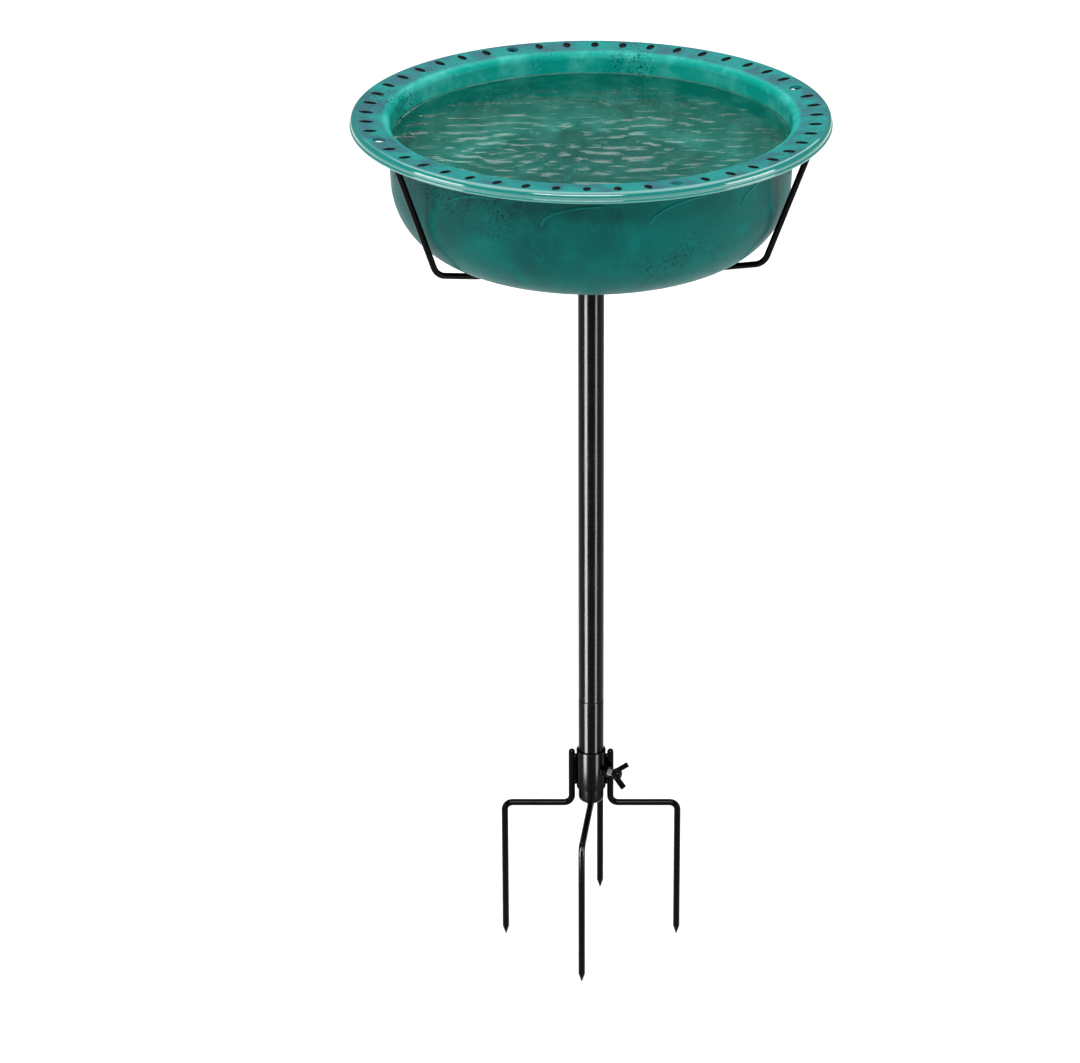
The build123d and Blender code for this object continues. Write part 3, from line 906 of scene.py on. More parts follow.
@dataclass
class BowlShell:
    """Moulded bowl with a flared rim, finger notches, chain holes and a turned-down lip."""

    sheet: float = 2.2 * MM
    depth: float = 99.5 * MM
    wall_top_radius: float = 144.0 * MM
    wall_draft: float = math.radians(2.8)
    base_corner_radius: float = 53.5 * MM
    rim_slope: float = math.radians(4.0)
    shoulder_radius: float = 4.0 * MM
    lip_corner_radius: float = 1.2 * MM
    lip_height: float = 7.7 * MM
    bead_radius: float = 1.5 * MM
    bead_stand_out: float = 0.7 * MM
    positions: int = 48
    first_azimuth: float = math.radians(21.5)
    notch_ring: float = 158.5 * MM
    notch_length: float = 10.0 * MM
    notch_width: float = 5.0 * MM
    notch_depth: float = 1.5 * MM
    notch_fullness: float = 0.7
    recess: str = "recess"
    holes: int = 4
    hole_ring: float = 157.4 * MM
    hole_radius: float = 4.5 * MM
    band_margin: float = 1.2 * MM
    band_step: float = 0.7 * MM
    segments: int = 288
    fine_segments: int = 1440
    base_steps: int = 32
    bead_steps: int = 20

    def __post_init__(self) -> None:
        """Take the bowl's place and overall radius from the frame."""
        bowl = Turned.of("bowl")
        self.base_z = bowl.foot
        self.rim_radius = bowl.radius
        self.rim_z = bowl.foot + self.depth
        self.lip_face = self.rim_radius - self.bead_stand_out
        self.lip_inner = self.lip_face - self.sheet
        self.rim_under_z = self.rim_z - self.sheet
        rim_fall = (self.lip_inner - self.wall_top_radius) * math.tan(self.rim_slope)
        self.shoulder_z = self.rim_under_z - rim_fall
        self.corner_run = self.wall_radius(self.base_z)

    def underside(self) -> np.ndarray:
        """Return the sheet's underside from the axis out to the foot of the lip."""
        corners = [
            (0.0, self.base_z),
            (self.corner_run, self.base_z),
            (self.wall_top_radius, self.shoulder_z),
            (self.lip_inner, self.rim_under_z),
            (self.lip_inner, self.rim_z - self.lip_height),
        ]
        radii = [self.base_corner_radius, self.shoulder_radius, self.lip_corner_radius]
        return rounded_path(corners, radii, self.base_steps)

    def inside(self) -> np.ndarray:
        """Return the sheet's inner and upper face, from the axis out to the foot of the lip."""
        return left_offset(self.underside(), self.sheet)

    def wall_radius(self, height: float) -> float:
        """Return the outer wall's radius at a height, above the base corner."""
        return self.wall_top_radius - (self.shoulder_z - height) * math.tan(self.wall_draft)

    def outline(self) -> tuple[np.ndarray, list[int]]:
        """Return the whole closed outline, and the number of segments at each of its points."""
        lower, upper = self.underside(), self.inside()[:-1]
        bead_r = self.rim_radius - self.bead_radius
        bead_z = self.rim_z - self.lip_height + self.bead_radius
        outer_cut, inner_cut = (
            math.degrees(math.acos((face - bead_r) / self.bead_radius))
            for face in (self.lip_face, self.lip_inner)
        )
        bead = arc((bead_r, bead_z), self.bead_radius, inner_cut, 360 + outer_cut, self.bead_steps)
        dense, after = self.dense_rings(upper)
        fine = [False] * after + [True] * len(dense) + [False] * (len(upper) - after)
        counts = [self.segments] * (len(lower) - 1 + len(bead))
        counts += [self.fine_segments if is_fine else self.segments for is_fine in fine[::-1]]
        top = np.vstack([upper[:after], dense, upper[after:]])
        return np.vstack([lower[:-1], bead, top[::-1]]), counts

    def dense_rings(self, upper: np.ndarray) -> tuple[np.ndarray, int]:
        """Return close rings under the notches.

        Args:
            upper: The outline of the sheet's upper face.

        Returns:
            The rings' radius and height, and the number of the outline's point that follows them.
        """
        half = self.notch_length / 2 + self.band_margin
        inner, outer = self.notch_ring - half, self.notch_ring + half
        on_rim = upper[:-1, 0] > self.wall_top_radius
        after = int(np.argmax(np.where(on_rim, np.diff(upper[:, 0]), 0))) + 1
        run = upper[after - 1 : after + 1]
        radii = np.linspace(inner, outer, round((outer - inner) / self.band_step) + 1)
        return np.stack([radii, np.interp(radii, run[:, 0], run[:, 1])], -1), after

    def notch_recipe(self, material: bpy.types.Material) -> Recipe:
        """Return the tree that presses the finger notches into the rim's upper face."""
        inputs = {
            "Positions": self.positions,
            "Hole Step": self.positions // self.holes,
            "First Azimuth": self.first_azimuth,
            "Ring Radius": self.notch_ring,
            "Notch Length": self.notch_length,
            "Notch Width": self.notch_width,
            "Notch Depth": self.notch_depth,
            "Fullness": self.notch_fullness,
            "Mid Sheet": self.rim_under_z + self.sheet / 2 - self.lip_inner * math.tan(self.rim_slope),
            "Slope": math.tan(self.rim_slope),
        }
        recipe = Recipe("rim_notches", inputs, material)
        wires, given = recipe.wiring, recipe.given
        position = wires.add("GeometryNodeInputPosition").outputs[0]
        place = wires.add("ShaderNodeSeparateXYZ", position).outputs
        radius = wires.length(place["X"], place["Y"])
        pitch = wires.maths("DIVIDE", FULL_TURN, given("Positions"))
        azimuth = wires.maths("ARCTAN2", place["Y"], place["X"])
        past_first = wires.maths("SUBTRACT", azimuth, given("First Azimuth"))
        turned = wires.maths("DIVIDE", past_first, pitch)
        number = wires.maths("ROUND", turned)
        across = wires.product(wires.maths("SUBTRACT", turned, number), pitch, radius)
        outwards = wires.maths("SUBTRACT", radius, given("Ring Radius"))
        share_w = wires.maths("DIVIDE", wires.product(across, 2.0), given("Notch Width"))
        share_l = wires.maths("DIVIDE", wires.product(outwards, 2.0), given("Notch Length"))
        inside = wires.maths("SUBTRACT", 1.0, wires.square_sum(share_w, share_l), clamp=True)
        hollow = wires.maths("POWER", inside, given("Fullness"))
        spare = wires.maths("FLOORED_MODULO", number, given("Hole Step"))
        kept = wires.maths("MINIMUM", spare, 1.0)
        middle = wires.maths("MULTIPLY_ADD", radius, given("Slope"), given("Mid Sheet"))
        upper = wires.maths("GREATER_THAN", place["Z"], middle)
        pressed = wires.product(hollow, kept, upper)
        stored = wires.add(
            "GeometryNodeStoreNamedAttribute",
            given("Geometry"),
            named={"Name": self.recess, "Value": pressed},
            data_type="FLOAT",
            domain="POINT",
        )
        fall = wires.vector(0.0, 0.0, wires.product(pressed, given("Notch Depth"), -1.0))
        sunk = wires.add("GeometryNodeSetPosition", stored.outputs[0], named={"Offset": fall})
        recipe.close(sunk.outputs[0])
        return recipe

    def hole_cutter(self) -> bpy.types.Object:
        """Return the four round punches of the hanging-chain holes."""
        outline = np.array([(0.0, -1.0), (1.0, -1.0), (1.0, 1.0), (0.0, 1.0)])
        outline = outline * [self.hole_radius, 2 * self.lip_height]
        meshes = []
        for number in range(self.holes):
            azimuth = self.first_azimuth + number * FULL_TURN / self.holes
            x, y = self.hole_ring * heading(math.degrees(azimuth))
            punch = lathe("punch", outline, 64)
            punch.transform(Matrix.Translation((x, y, self.rim_z)))
            meshes.append(punch)
        cutter = link("hole_punches", joined("hole_punches", meshes))
        cutter.hide_render = True
        return cutter

    def build(self) -> None:
        """Build the shell and the fine ridges on its wall."""
        lip_from = self.lip_face - self.lip_corner_radius * 3
        material = Patina(self.wall_top_radius, lip_from).material()
        outline, counts = self.outline()
        blank = link("bowl_blank", lathe("bowl_blank", outline, counts), material)
        cutter = self.hole_cutter()
        punch = blank.modifiers.new("chain_holes", "BOOLEAN")
        punch.operation, punch.solver, punch.object = "DIFFERENCE", "MANIFOLD", cutter
        self.notch_recipe(material).put_on(blank)
        shell = baked("bowl_shell", blank, material)
        bpy.data.objects.remove(cutter)
        install(shell, Finish(material, Slot.PATINA), Body.BOWL, "bowl")
        # Painted highlight: the ridges get a lighter copy of the patina, standing in for the light that
        # their raised arcs catch.
        pale = Patina(
            self.wall_top_radius,
            self.lip_face,
            name="teal_patina_ridges_painted_highlight",
            deep=srgb(4, 92, 88),
            teal=srgb(8, 104, 99),
            fresh=srgb(14, 116, 109),
        ).material()
        install(WallRidges(self).piece(pale), Finish(pale, Slot.PATINA), Body.BOWL)


@dataclass
class WallRidges:
    """Fine raised arcs moulded on the bowl's outer wall, each sweeping up to the lip."""

    shell: BowlShell
    count: int = 12
    first_azimuth: float = math.radians(226.5)
    sweep: float = math.radians(16.5)
    foot_drop: float = 34.0 * MM
    top_drop: float = 18.8 * MM
    width: float = 2.2 * MM
    thin_end: float = 0.45
    fullness: float = 0.45
    sunk: float = 0.55 * MM
    points: int = 28
    sides: int = 12

    def piece(self, material: bpy.types.Material) -> bpy.types.Object:
        """Build the ridges as one plain object."""
        foot_z, top_z = self.shell.rim_z - self.foot_drop, self.shell.rim_z - self.top_drop
        inputs = {
            "Count": self.count,
            "First Azimuth": self.first_azimuth,
            "Sweep": self.sweep,
            "Foot": foot_z,
            "Rise": top_z - foot_z,
            "Foot Radius": self.shell.wall_radius(foot_z) - self.sunk,
            "Draft": math.tan(self.shell.wall_draft),
            "Width": self.width,
            "Thin End": self.thin_end,
        }
        recipe = Recipe("wall_ridges", inputs, material)
        wires, given = recipe.wiring, recipe.given
        line = wires.add("GeometryNodeCurvePrimitiveLine").outputs[0]
        line = wires.add("GeometryNodeResampleCurve", line, named={"Count": self.points}).outputs[0]
        share = wires.add("GeometryNodeSplineParameter").outputs["Factor"]
        angle = wires.product(share, math.pi / 2)
        rise = wires.product(wires.maths("SINE", angle), given("Rise"))
        round_off = wires.maths("SUBTRACT", 1.0, wires.maths("COSINE", angle))
        turn = wires.product(round_off, given("Sweep"))
        azimuth = wires.maths("ADD", given("First Azimuth"), turn)
        radius = wires.maths("ADD", given("Foot Radius"), wires.product(rise, given("Draft")))
        x, y = (wires.product(radius, wires.maths(way, azimuth)) for way in ("COSINE", "SINE"))
        spot = wires.vector(x, y, wires.maths("ADD", rise, given("Foot")))
        line = wires.add("GeometryNodeSetPosition", line, named={"Position": spot}).outputs[0]
        half_wave = wires.maths("SINE", wires.product(share, math.pi))
        taper = wires.maths("POWER", half_wave, self.fullness)
        swell = wires.maths("SUBTRACT", 1.0, given("Thin End"))
        thick = wires.maths("ADD", wires.product(taper, swell), given("Thin End"))
        line = wires.add("GeometryNodeSetCurveRadius", line, named={"Radius": thick}).outputs[0]
        spots = wires.add("GeometryNodePoints", named={"Count": given("Count")}).outputs[0]
        index = wires.add("GeometryNodeInputIndex").outputs[0]
        spin = wires.vector(0.0, 0.0, wires.product(index, FULL_TURN / self.count))
        copies = {"Instance": line, "Rotation": spin}
        lines = wires.add("GeometryNodeInstanceOnPoints", spots, named=copies).outputs[0]
        lines = wires.add("GeometryNodeRealizeInstances", lines).outputs[0]
        round_bar = {"Resolution": self.sides, "Radius": wires.product(given("Width"), 0.5)}
        ring = wires.add("GeometryNodeCurvePrimitiveCircle", named=round_bar).outputs[0]
        swept = wires.add("GeometryNodeCurveToMesh", lines, ring, named={"Fill Caps": True})
        recipe.close(swept.outputs[0])
        carrier = link("wall_ridges_carrier", bpy.data.meshes.new("wall_ridges_carrier"))
        recipe.put_on(carrier)
        return baked("bowl_wall_ridges", carrier, material)


@dataclass(frozen=True)
class RippleSource:
    """Where something touched the water, with its waves' height and length."""

    x: float
    y: float
    height: float
    length: float


@dataclass
class Water:
    """Water that fills the bowl to a little under the shoulder, with spreading rings."""

    shell: BowlShell
    level_drop: float = 17.5 * MM
    overlap: float = 0.12 * MM
    meniscus_rise: float = 1.2 * MM
    meniscus_reach: float = 2.2 * MM
    meniscus_steps: tuple[float, ...] = (0.0, 0.15, 0.35, 0.6, 1.0)
    calm_edge: float = 6 * MM
    surface_slack: float = 0.001 * MM
    ring_step: float = 1.5 * MM
    segments: int = 288
    sources: tuple[RippleSource, ...] = (
        RippleSource(-0.070, -0.030, 0.30 * MM, 15 * MM),
        RippleSource(0.026, -0.018, 0.34 * MM, 19 * MM),
        RippleSource(0.085, 0.060, 0.14 * MM, 12 * MM),
    )
    decay: float = 0.055
    twist: float = 40.0
    unevenness: float = 0.20

    def ripple(self, places: np.ndarray) -> np.ndarray:
        """Return the height of the spreading rings at each place.

        Args:
            places: X and Y of each point of the surface.

        Returns:
            One height a point, in metres.
        """
        total = np.zeros(len(places))
        for source in self.sources:
            away = np.hypot(places[:, 0] - source.x, places[:, 1] - source.y)
            bearing = np.arctan2(places[:, 1] - source.y, places[:, 0] - source.x)
            swirl = np.sin(3 * bearing + away * self.twist) + np.sin(5 * bearing - away * self.twist / 2)
            away = away + swirl * source.length * self.unevenness
            wave = np.sin(FULL_TURN * away / source.length) * np.exp(-away / self.decay)
            total += source.height * wave * np.clip(away / source.length, 0, 1)
        return total

    def build(self) -> None:
        """Build the water as one closed body that fits the bowl."""
        level = self.shell.rim_z - self.level_drop
        inner = left_offset(self.shell.underside(), self.shell.sheet - self.overlap)
        wet = inner[(inner[:, 1] < level) & (inner[:, 0] < self.shell.wall_top_radius)]
        edge = float(np.interp(level, inner[: len(wet) + 2, 1], inner[: len(wet) + 2, 0]))
        wet[0, 0] = 0.0
        shares = np.array(self.meniscus_steps)
        rise = self.meniscus_rise * (1 - shares) ** 2
        meniscus = np.stack([edge - shares * self.meniscus_reach, level + rise], -1)
        radii = np.linspace(edge - self.meniscus_reach, 0, round(edge / self.ring_step))[1:]
        top = np.stack([radii, np.full(len(radii), level)], -1)
        mesh = lathe("bowl_water", np.vstack([wet, meniscus, top]), self.segments)
        places = places_of(mesh)
        radius = np.hypot(places[:, 0], places[:, 1])
        share = np.clip((edge - self.meniscus_reach - radius) / self.calm_edge, 0, 1)
        surface = np.isclose(places[:, 2], level, atol=self.surface_slack)
        places[:, 2] += np.where(surface, self.ripple(places[:, :2]) * share, 0.0)
        install(moved(mesh, places), Finish(PondWater().material()), Body.BOWL)


# ---------------------------------------------------------------- cradle


@dataclass
class WireCradle:
    """Hub plate, three wire arms and the hidden ring that carries the bowl's rim."""

    shell: BowlShell
    finishes: Finishes
    wire: float = 4.5 * MM
    arm_azimuths: tuple[tuple[str, float], ...] = (("left", 216.0), ("right", 336.0), ("rear", 96.0))
    arm_start: float = 5.0 * MM
    bend_radius: float = 13.0 * MM
    bend_reach: float = 132.6 * MM
    slope: float = math.radians(13.5)
    rest_gap: float = 0.3 * MM
    hub_edge: float = 1.0 * MM
    rivet_radius: float = 4.0 * MM
    peg_chamfer: float = 1.2 * MM
    hub_bead: float = 6.0 * MM
    ring_bead: float = 5.0 * MM
    ring_bead_inset: float = 0.6 * MM

    def __post_init__(self) -> None:
        """Take the wire's levels from the frame."""
        ring_low, ring_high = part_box("cradle_ring")
        self.ring_radius = (ring_high.x - ring_low.x - self.wire) / 2
        self.ring_z = (ring_high.z + ring_low.z) / 2
        self.hub = Turned.of("cradle_hub")
        self.arm_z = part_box("left_cradle_arm")[0].z + self.wire / 2

    def arm_path(self) -> np.ndarray:
        """Return an arm's centre line: flat under the bowl, round its corner and up to the ring."""
        hug = self.shell.base_corner_radius + self.rest_gap + self.wire / 2
        corner = self.shell.base_corner_radius * math.tan((math.pi / 2 - self.shell.wall_draft) / 2)
        flat_end = self.shell.corner_run - corner + hug * math.tan(self.slope / 2)
        bend_z = self.arm_z + (self.bend_reach - flat_end) * math.tan(self.slope)
        corners = [
            (self.arm_start, self.arm_z),
            (flat_end, self.arm_z),
            (self.bend_reach, bend_z),
            (self.ring_radius, self.ring_z - self.wire / 2),
        ]
        return rounded_path(corners, [hug, self.bend_radius], 24)

    def build(self) -> None:
        """Build the hub, peg, arms, ring and beads."""
        enamel, body = self.finishes.enamel, Body.CRADLE
        path, cut_ends = self.arm_path(), (BarEnd.CUT, BarEnd.CUT)
        for side, azimuth in self.arm_azimuths:
            mesh = bar(f"{side}_wire_arm", path, self.wire / 2, cut_ends, azimuth)
            install(mesh, enamel, body, f"{side}_cradle_arm")
        hoop = arc((self.ring_radius, self.ring_z), self.wire / 2, 0, 360, 24)[:-1]
        install(lathe("wire_ring", hoop, 288), enamel, body, "cradle_ring")
        hub, hole = self.hub, self.rivet_radius
        foot, top = [(hole, hub.foot), (hub.radius, hub.foot)], [(hub.radius, hub.top), (hole, hub.top)]
        plate = turned_outline(foot + top, self.hub_edge)
        install(lathe("hub_plate", plate, 96), enamel, body, "cradle_hub")
        peg = Turned.of("cradle_peg")
        chamfer = [
            (0.0, peg.foot),
            (peg.radius - self.peg_chamfer, peg.foot),
            (peg.radius, peg.foot + self.peg_chamfer),
        ]
        rivet = [(peg.radius, hub.foot), (hole, hub.foot), (hole, peg.top), (0.0, peg.top)]
        pin = lathe("hub_peg", np.array(chamfer + rivet), 72)
        install(pin, self.finishes.zinc, body, "cradle_peg")
        self.build_beads()

    def build_beads(self) -> None:
        """Build the beads at the hub and at the ring, each set as one piece."""
        enamel = self.finishes.enamel
        hub_reach, ring_reach = self.hub.radius - self.hub_bead / 2, self.ring_radius - self.ring_bead_inset
        for name, reach, height, bead, nodes in (
            ("hub", hub_reach, self.hub.top, self.hub_bead, ["cradle_weld_beads"]),
            ("ring", ring_reach, self.ring_z - self.wire / 2, self.ring_bead, []),
        ):
            places = [(*(heading(azimuth) * reach), height) for _, azimuth in self.arm_azimuths]
            beads = WeldBeads(places, bead / 2).piece(f"{name}_weld_beads", enamel.material)
            install(beads, enamel, Body.CRADLE, *nodes)


# ---------------------------------------------------------------- pole


@dataclass
class Pole:
    """Two-piece tube pole with a stepped spigot at its joint."""

    finishes: Finishes
    wall: float = 1.2 * MM
    edge: float = 0.5 * MM
    spigot_wall: float = 1.2 * MM
    spigot_edge: float = 0.8 * MM
    spigot_running: float = 0.1 * MM
    segments: int = 96

    def build(self) -> None:
        """Build both tubes and the spigot."""
        for body in (Body.LOWER_POLE, Body.UPPER_POLE):
            node = f"{body.value}_tube"
            outline = Turned.of(node).tube(self.wall, self.edge)
            install(lathe(body.value, outline, self.segments), self.finishes.enamel, body, node)
        spigot = Turned.of("pole_joint_spigot")
        joint = Turned.of("lower_pole_tube").top
        free = spigot.radius - self.spigot_running
        bore = free - self.spigot_wall
        held = [(bore, spigot.foot), (spigot.radius, spigot.foot), (spigot.radius, joint), (free, joint)]
        tip = [
            (free, spigot.top - self.spigot_edge),
            (free - self.spigot_edge, spigot.top),
            (bore, spigot.top),
        ]
        mesh = lathe("joint_spigot", np.array(held + tip), self.segments)
        install(mesh, self.finishes.zinc, Body.LOWER_POLE, "pole_joint_spigot")


# ---------------------------------------------------------------- clamp collar


@dataclass
class ClampCollar:
    """Collar tube with its rounded end plug and a weld nut for the wing screw."""

    finishes: Finishes
    wall: float = 1.5 * MM
    edge: float = 0.45 * MM
    plug_step: float = 1.5 * MM
    plug_round: float = 4.0 * MM
    nut_flats: float = 8.0 * MM
    nut_height: float = 4.0 * MM
    nut_sunk: float = 1.2 * MM
    nut_bore: float = 2.55 * MM
    nut_chamfer: float = 0.7 * MM
    nut_chamfer_reach: float = 0.93
    nut_countersink: float = 0.4 * MM
    screw_azimuth: float = -29.0

    def collar(self) -> None:
        """Build the collar tube and the plug in its foot."""
        span, enamel = Turned.of("collar_tube"), self.finishes.enamel
        outline = span.tube(self.wall, self.edge)
        install(lathe("clamp_collar", outline, 96), enamel, Body.BASE, "collar_tube")
        plug = Turned.of("collar_end_plug")
        head, bore, turn = span.radius - self.plug_step, span.radius - self.wall, self.plug_round
        nose = arc((head - turn, plug.foot + turn), turn, -90, 0, 12)
        neck = [(head, span.foot), (bore, span.foot), (bore, plug.top), (0.0, plug.top)]
        mesh = lathe("collar_plug", np.vstack([[(0.0, plug.foot)], nose, neck]), 96)
        install(mesh, enamel, Body.BASE, "collar_end_plug")

    def nut(self) -> None:
        """Build the hexagon nut with its chamfered corners, bored for the screw."""
        collar = Turned.of("collar_tube")
        low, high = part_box("clamp_screw_shank")
        half = self.nut_flats / 2
        corner = half / math.cos(math.pi / 6)
        start, end = collar.radius - self.nut_sunk, collar.radius + self.nut_height
        levels = np.linspace(end - self.nut_chamfer, end, 7)
        slope = (corner - half * self.nut_chamfer_reach) / self.nut_chamfer
        rings = [(self.nut_bore, start), (corner, start)]
        rings += [(corner - (level - levels[0]) * slope, level) for level in levels]
        rings += [(self.nut_bore + self.nut_countersink, end), (self.nut_bore, end - self.nut_countersink)]
        mesh = lathe("weld_nut", np.array(rings), 96)
        places = places_of(mesh)
        angle = np.arctan2(places[:, 1], places[:, 0])
        flat = half / np.cos((angle + math.pi / 6) % (math.pi / 3) - math.pi / 6)
        radius = np.hypot(places[:, 0], places[:, 1])
        places[:, :2] *= (np.minimum(radius, flat) / radius)[:, None]
        mesh = moved(mesh, places)
        mesh.transform(screw_frame(self.screw_azimuth, (low.z + high.z) / 2))
        install(mesh, self.finishes.enamel, Body.BASE, "clamp_nut")

    def build(self) -> None:
        """Build the collar, plug and nut."""
        self.collar()
        self.nut()


def screw_frame(azimuth: float, height: float) -> Matrix:
    """Return the placement that lays Z outwards from the pole at an azimuth, with Y upright."""
    lay = Matrix(((0, 0, 1, 0), (1, 0, 0, 0), (0, 1, 0, 0), (0, 0, 0, 1)))
    turn = Matrix.Rotation(math.radians(azimuth), 4, "Z")
    return Matrix.Translation((0.0, 0.0, height)) @ turn @ lay


@dataclass
class WingScrew:
    """Threaded shank with a cast head of a round hub and two swept wings."""

    finishes: Finishes
    azimuth: float = -29.0
    shank_radius: float = 2.5 * MM
    shank_start: float = 9.8 * MM
    shank_length: float = 14.6 * MM
    pitch: float = 0.8 * MM
    thread_depth: float = 0.45 * MM
    thread_fade: tuple[float, float] = (0.06, 0.05)
    plain_turns: float = 1.5
    steps_a_turn: int = 40
    thin_end: float = 0.15
    tip_chamfer: float = 0.6 * MM
    hub_radius: float = 4.0 * MM
    hub_length: float = 6.2 * MM
    grip: float = 4.8 * MM
    socket_gap: float = 0.05 * MM
    wing: tuple[float, float, float] = (3.0 * MM, 3.8 * MM, 11.0 * MM)
    sweep: float = math.radians(39.5)
    roll: float = math.radians(18.0)
    wing_root: float = 2.0 * MM
    hub_rounds: tuple[float, float] = (0.3 * MM, 2.6 * MM)
    voxel: float = 0.16 * MM
    relaxing: tuple[int, float] = (5, 0.5)

    def __post_init__(self) -> None:
        """Take the screw's height from the frame."""
        low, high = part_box("clamp_screw_shank")
        self.height = (low.z + high.z) / 2

    def shank(self) -> None:
        """Build the core and wind the thread round it."""
        core = self.shank_radius - self.thread_depth
        end = self.shank_start + self.shank_length
        outline = [
            (0.0, self.shank_start),
            (core - self.tip_chamfer / 2, self.shank_start),
            (core, self.shank_start + self.tip_chamfer / 2),
            (core, end),
            (0.0, end),
        ]
        inputs = {
            "Pitch": self.pitch,
            "Core": core,
            "Depth": self.thread_depth,
            "Start": self.shank_start,
        }
        recipe = Recipe("screw_thread", inputs, self.finishes.zinc.material)
        wires, given = recipe.wiring, recipe.given
        turns = (self.shank_length - self.grip) / self.pitch - self.plain_turns
        core_radius, height = given("Core"), wires.product(given("Pitch"), turns)
        spiral = (self.steps_a_turn, turns, core_radius, core_radius, height)
        coil = wires.add("GeometryNodeCurveSpiral", *spiral).outputs[0]
        coil = wires.add("GeometryNodeSetCurveNormal", coil, mode="Z_UP").outputs[0]
        share = wires.add("GeometryNodeSplineParameter").outputs["Factor"]
        run_in, run_out = self.thread_fade
        fade = wires.product(wires.ramp(share, 0.0, run_in), wires.ramp(share, 1.0, 1.0 - run_out))
        fade = wires.maths("MAXIMUM", fade, self.thin_end)
        coil = wires.add("GeometryNodeSetCurveRadius", coil, named={"Radius": fade}).outputs[0]
        diamond = {"Resolution": 4, "Radius": given("Depth")}
        ridge = wires.add("GeometryNodeCurvePrimitiveCircle", named=diamond).outputs[0]
        swept = wires.add("GeometryNodeCurveToMesh", coil, ridge, named={"Fill Caps": True})
        start = wires.maths("ADD", given("Start"), given("Pitch"))
        lift = {"Offset": wires.vector(0.0, 0.0, start)}
        lifted = wires.add("GeometryNodeSetPosition", swept.outputs[0], named=lift)
        both = wires.add("GeometryNodeJoinGeometry")
        wires.tree.links.new(given("Geometry"), both.inputs[0])
        wires.tree.links.new(lifted.outputs[0], both.inputs[0])
        recipe.close(both.outputs[0])
        carrier = link("screw_core", lathe("screw_core", np.array(outline), 48))
        recipe.put_on(carrier)
        piece = baked("screw_shank", carrier, self.finishes.zinc.material)
        piece.data.transform(screw_frame(self.azimuth, self.height))
        install(piece, self.finishes.zinc, Body.CLAMP_SHANK, "clamp_screw_shank")

    def head(self) -> None:
        """Build the cast head: hub and wings grown into one skin, bored for the shank."""
        profile = [(0.0, 0.0), (self.hub_radius, 0.0), (self.hub_radius, self.hub_length)]
        hub = rounded_path([*profile, (0.0, self.hub_length)], list(self.hub_rounds), 8)
        meshes = [lathe("hub", hub, 48)]
        thick, wide, long = self.wing
        for side in (-1, 1):
            block = bpy.data.meshes.new("wing")
            spans = (-thick / 2, thick / 2), (-wide / 2, wide / 2), (0, long)
            block.from_pydata(list(product(*spans)), [], BOX_FACES)
            place = Matrix.Translation((0.0, side * self.wing_root, self.hub_length / 4))
            block.transform(place @ Matrix.Rotation(-side * self.sweep, 4, "X"))
            meshes.append(block)
        carrier = link("wing_head_core", joined("wing_head_core", meshes))
        skin = carrier.modifiers.new("cast_skin", "REMESH")
        skin.mode = "VOXEL"
        skin.voxel_size = self.voxel
        relax = carrier.modifiers.new("cast_radius", "SMOOTH")
        relax.iterations, relax.factor = self.relaxing
        wide, deep = self.shank_radius + self.socket_gap, self.grip + self.socket_gap
        socket = np.array([(0.0, -MM), (wide, -MM), (wide, deep), (0.0, deep)])
        drill = link("wing_socket", lathe("wing_socket", socket, 48))
        bore = carrier.modifiers.new("socket", "BOOLEAN")
        bore.operation, bore.solver, bore.object = "DIFFERENCE", "MANIFOLD", drill
        piece = baked("wing_head", carrier, self.finishes.enamel.material)
        bpy.data.objects.remove(drill)
        start = self.shank_start + self.shank_length - self.grip
        lay = screw_frame(self.azimuth, self.height) @ Matrix.Translation((0.0, 0.0, start))
        piece.data.transform(lay @ Matrix.Rotation(-self.roll, 4, "Z"))
        install(piece, self.finishes.enamel, Body.CLAMP_HEAD, "clamp_screw_wings")

    def build(self) -> None:
        """Build the shank and the head."""
        self.shank()
        self.head()


# ---------------------------------------------------------------- ground prongs


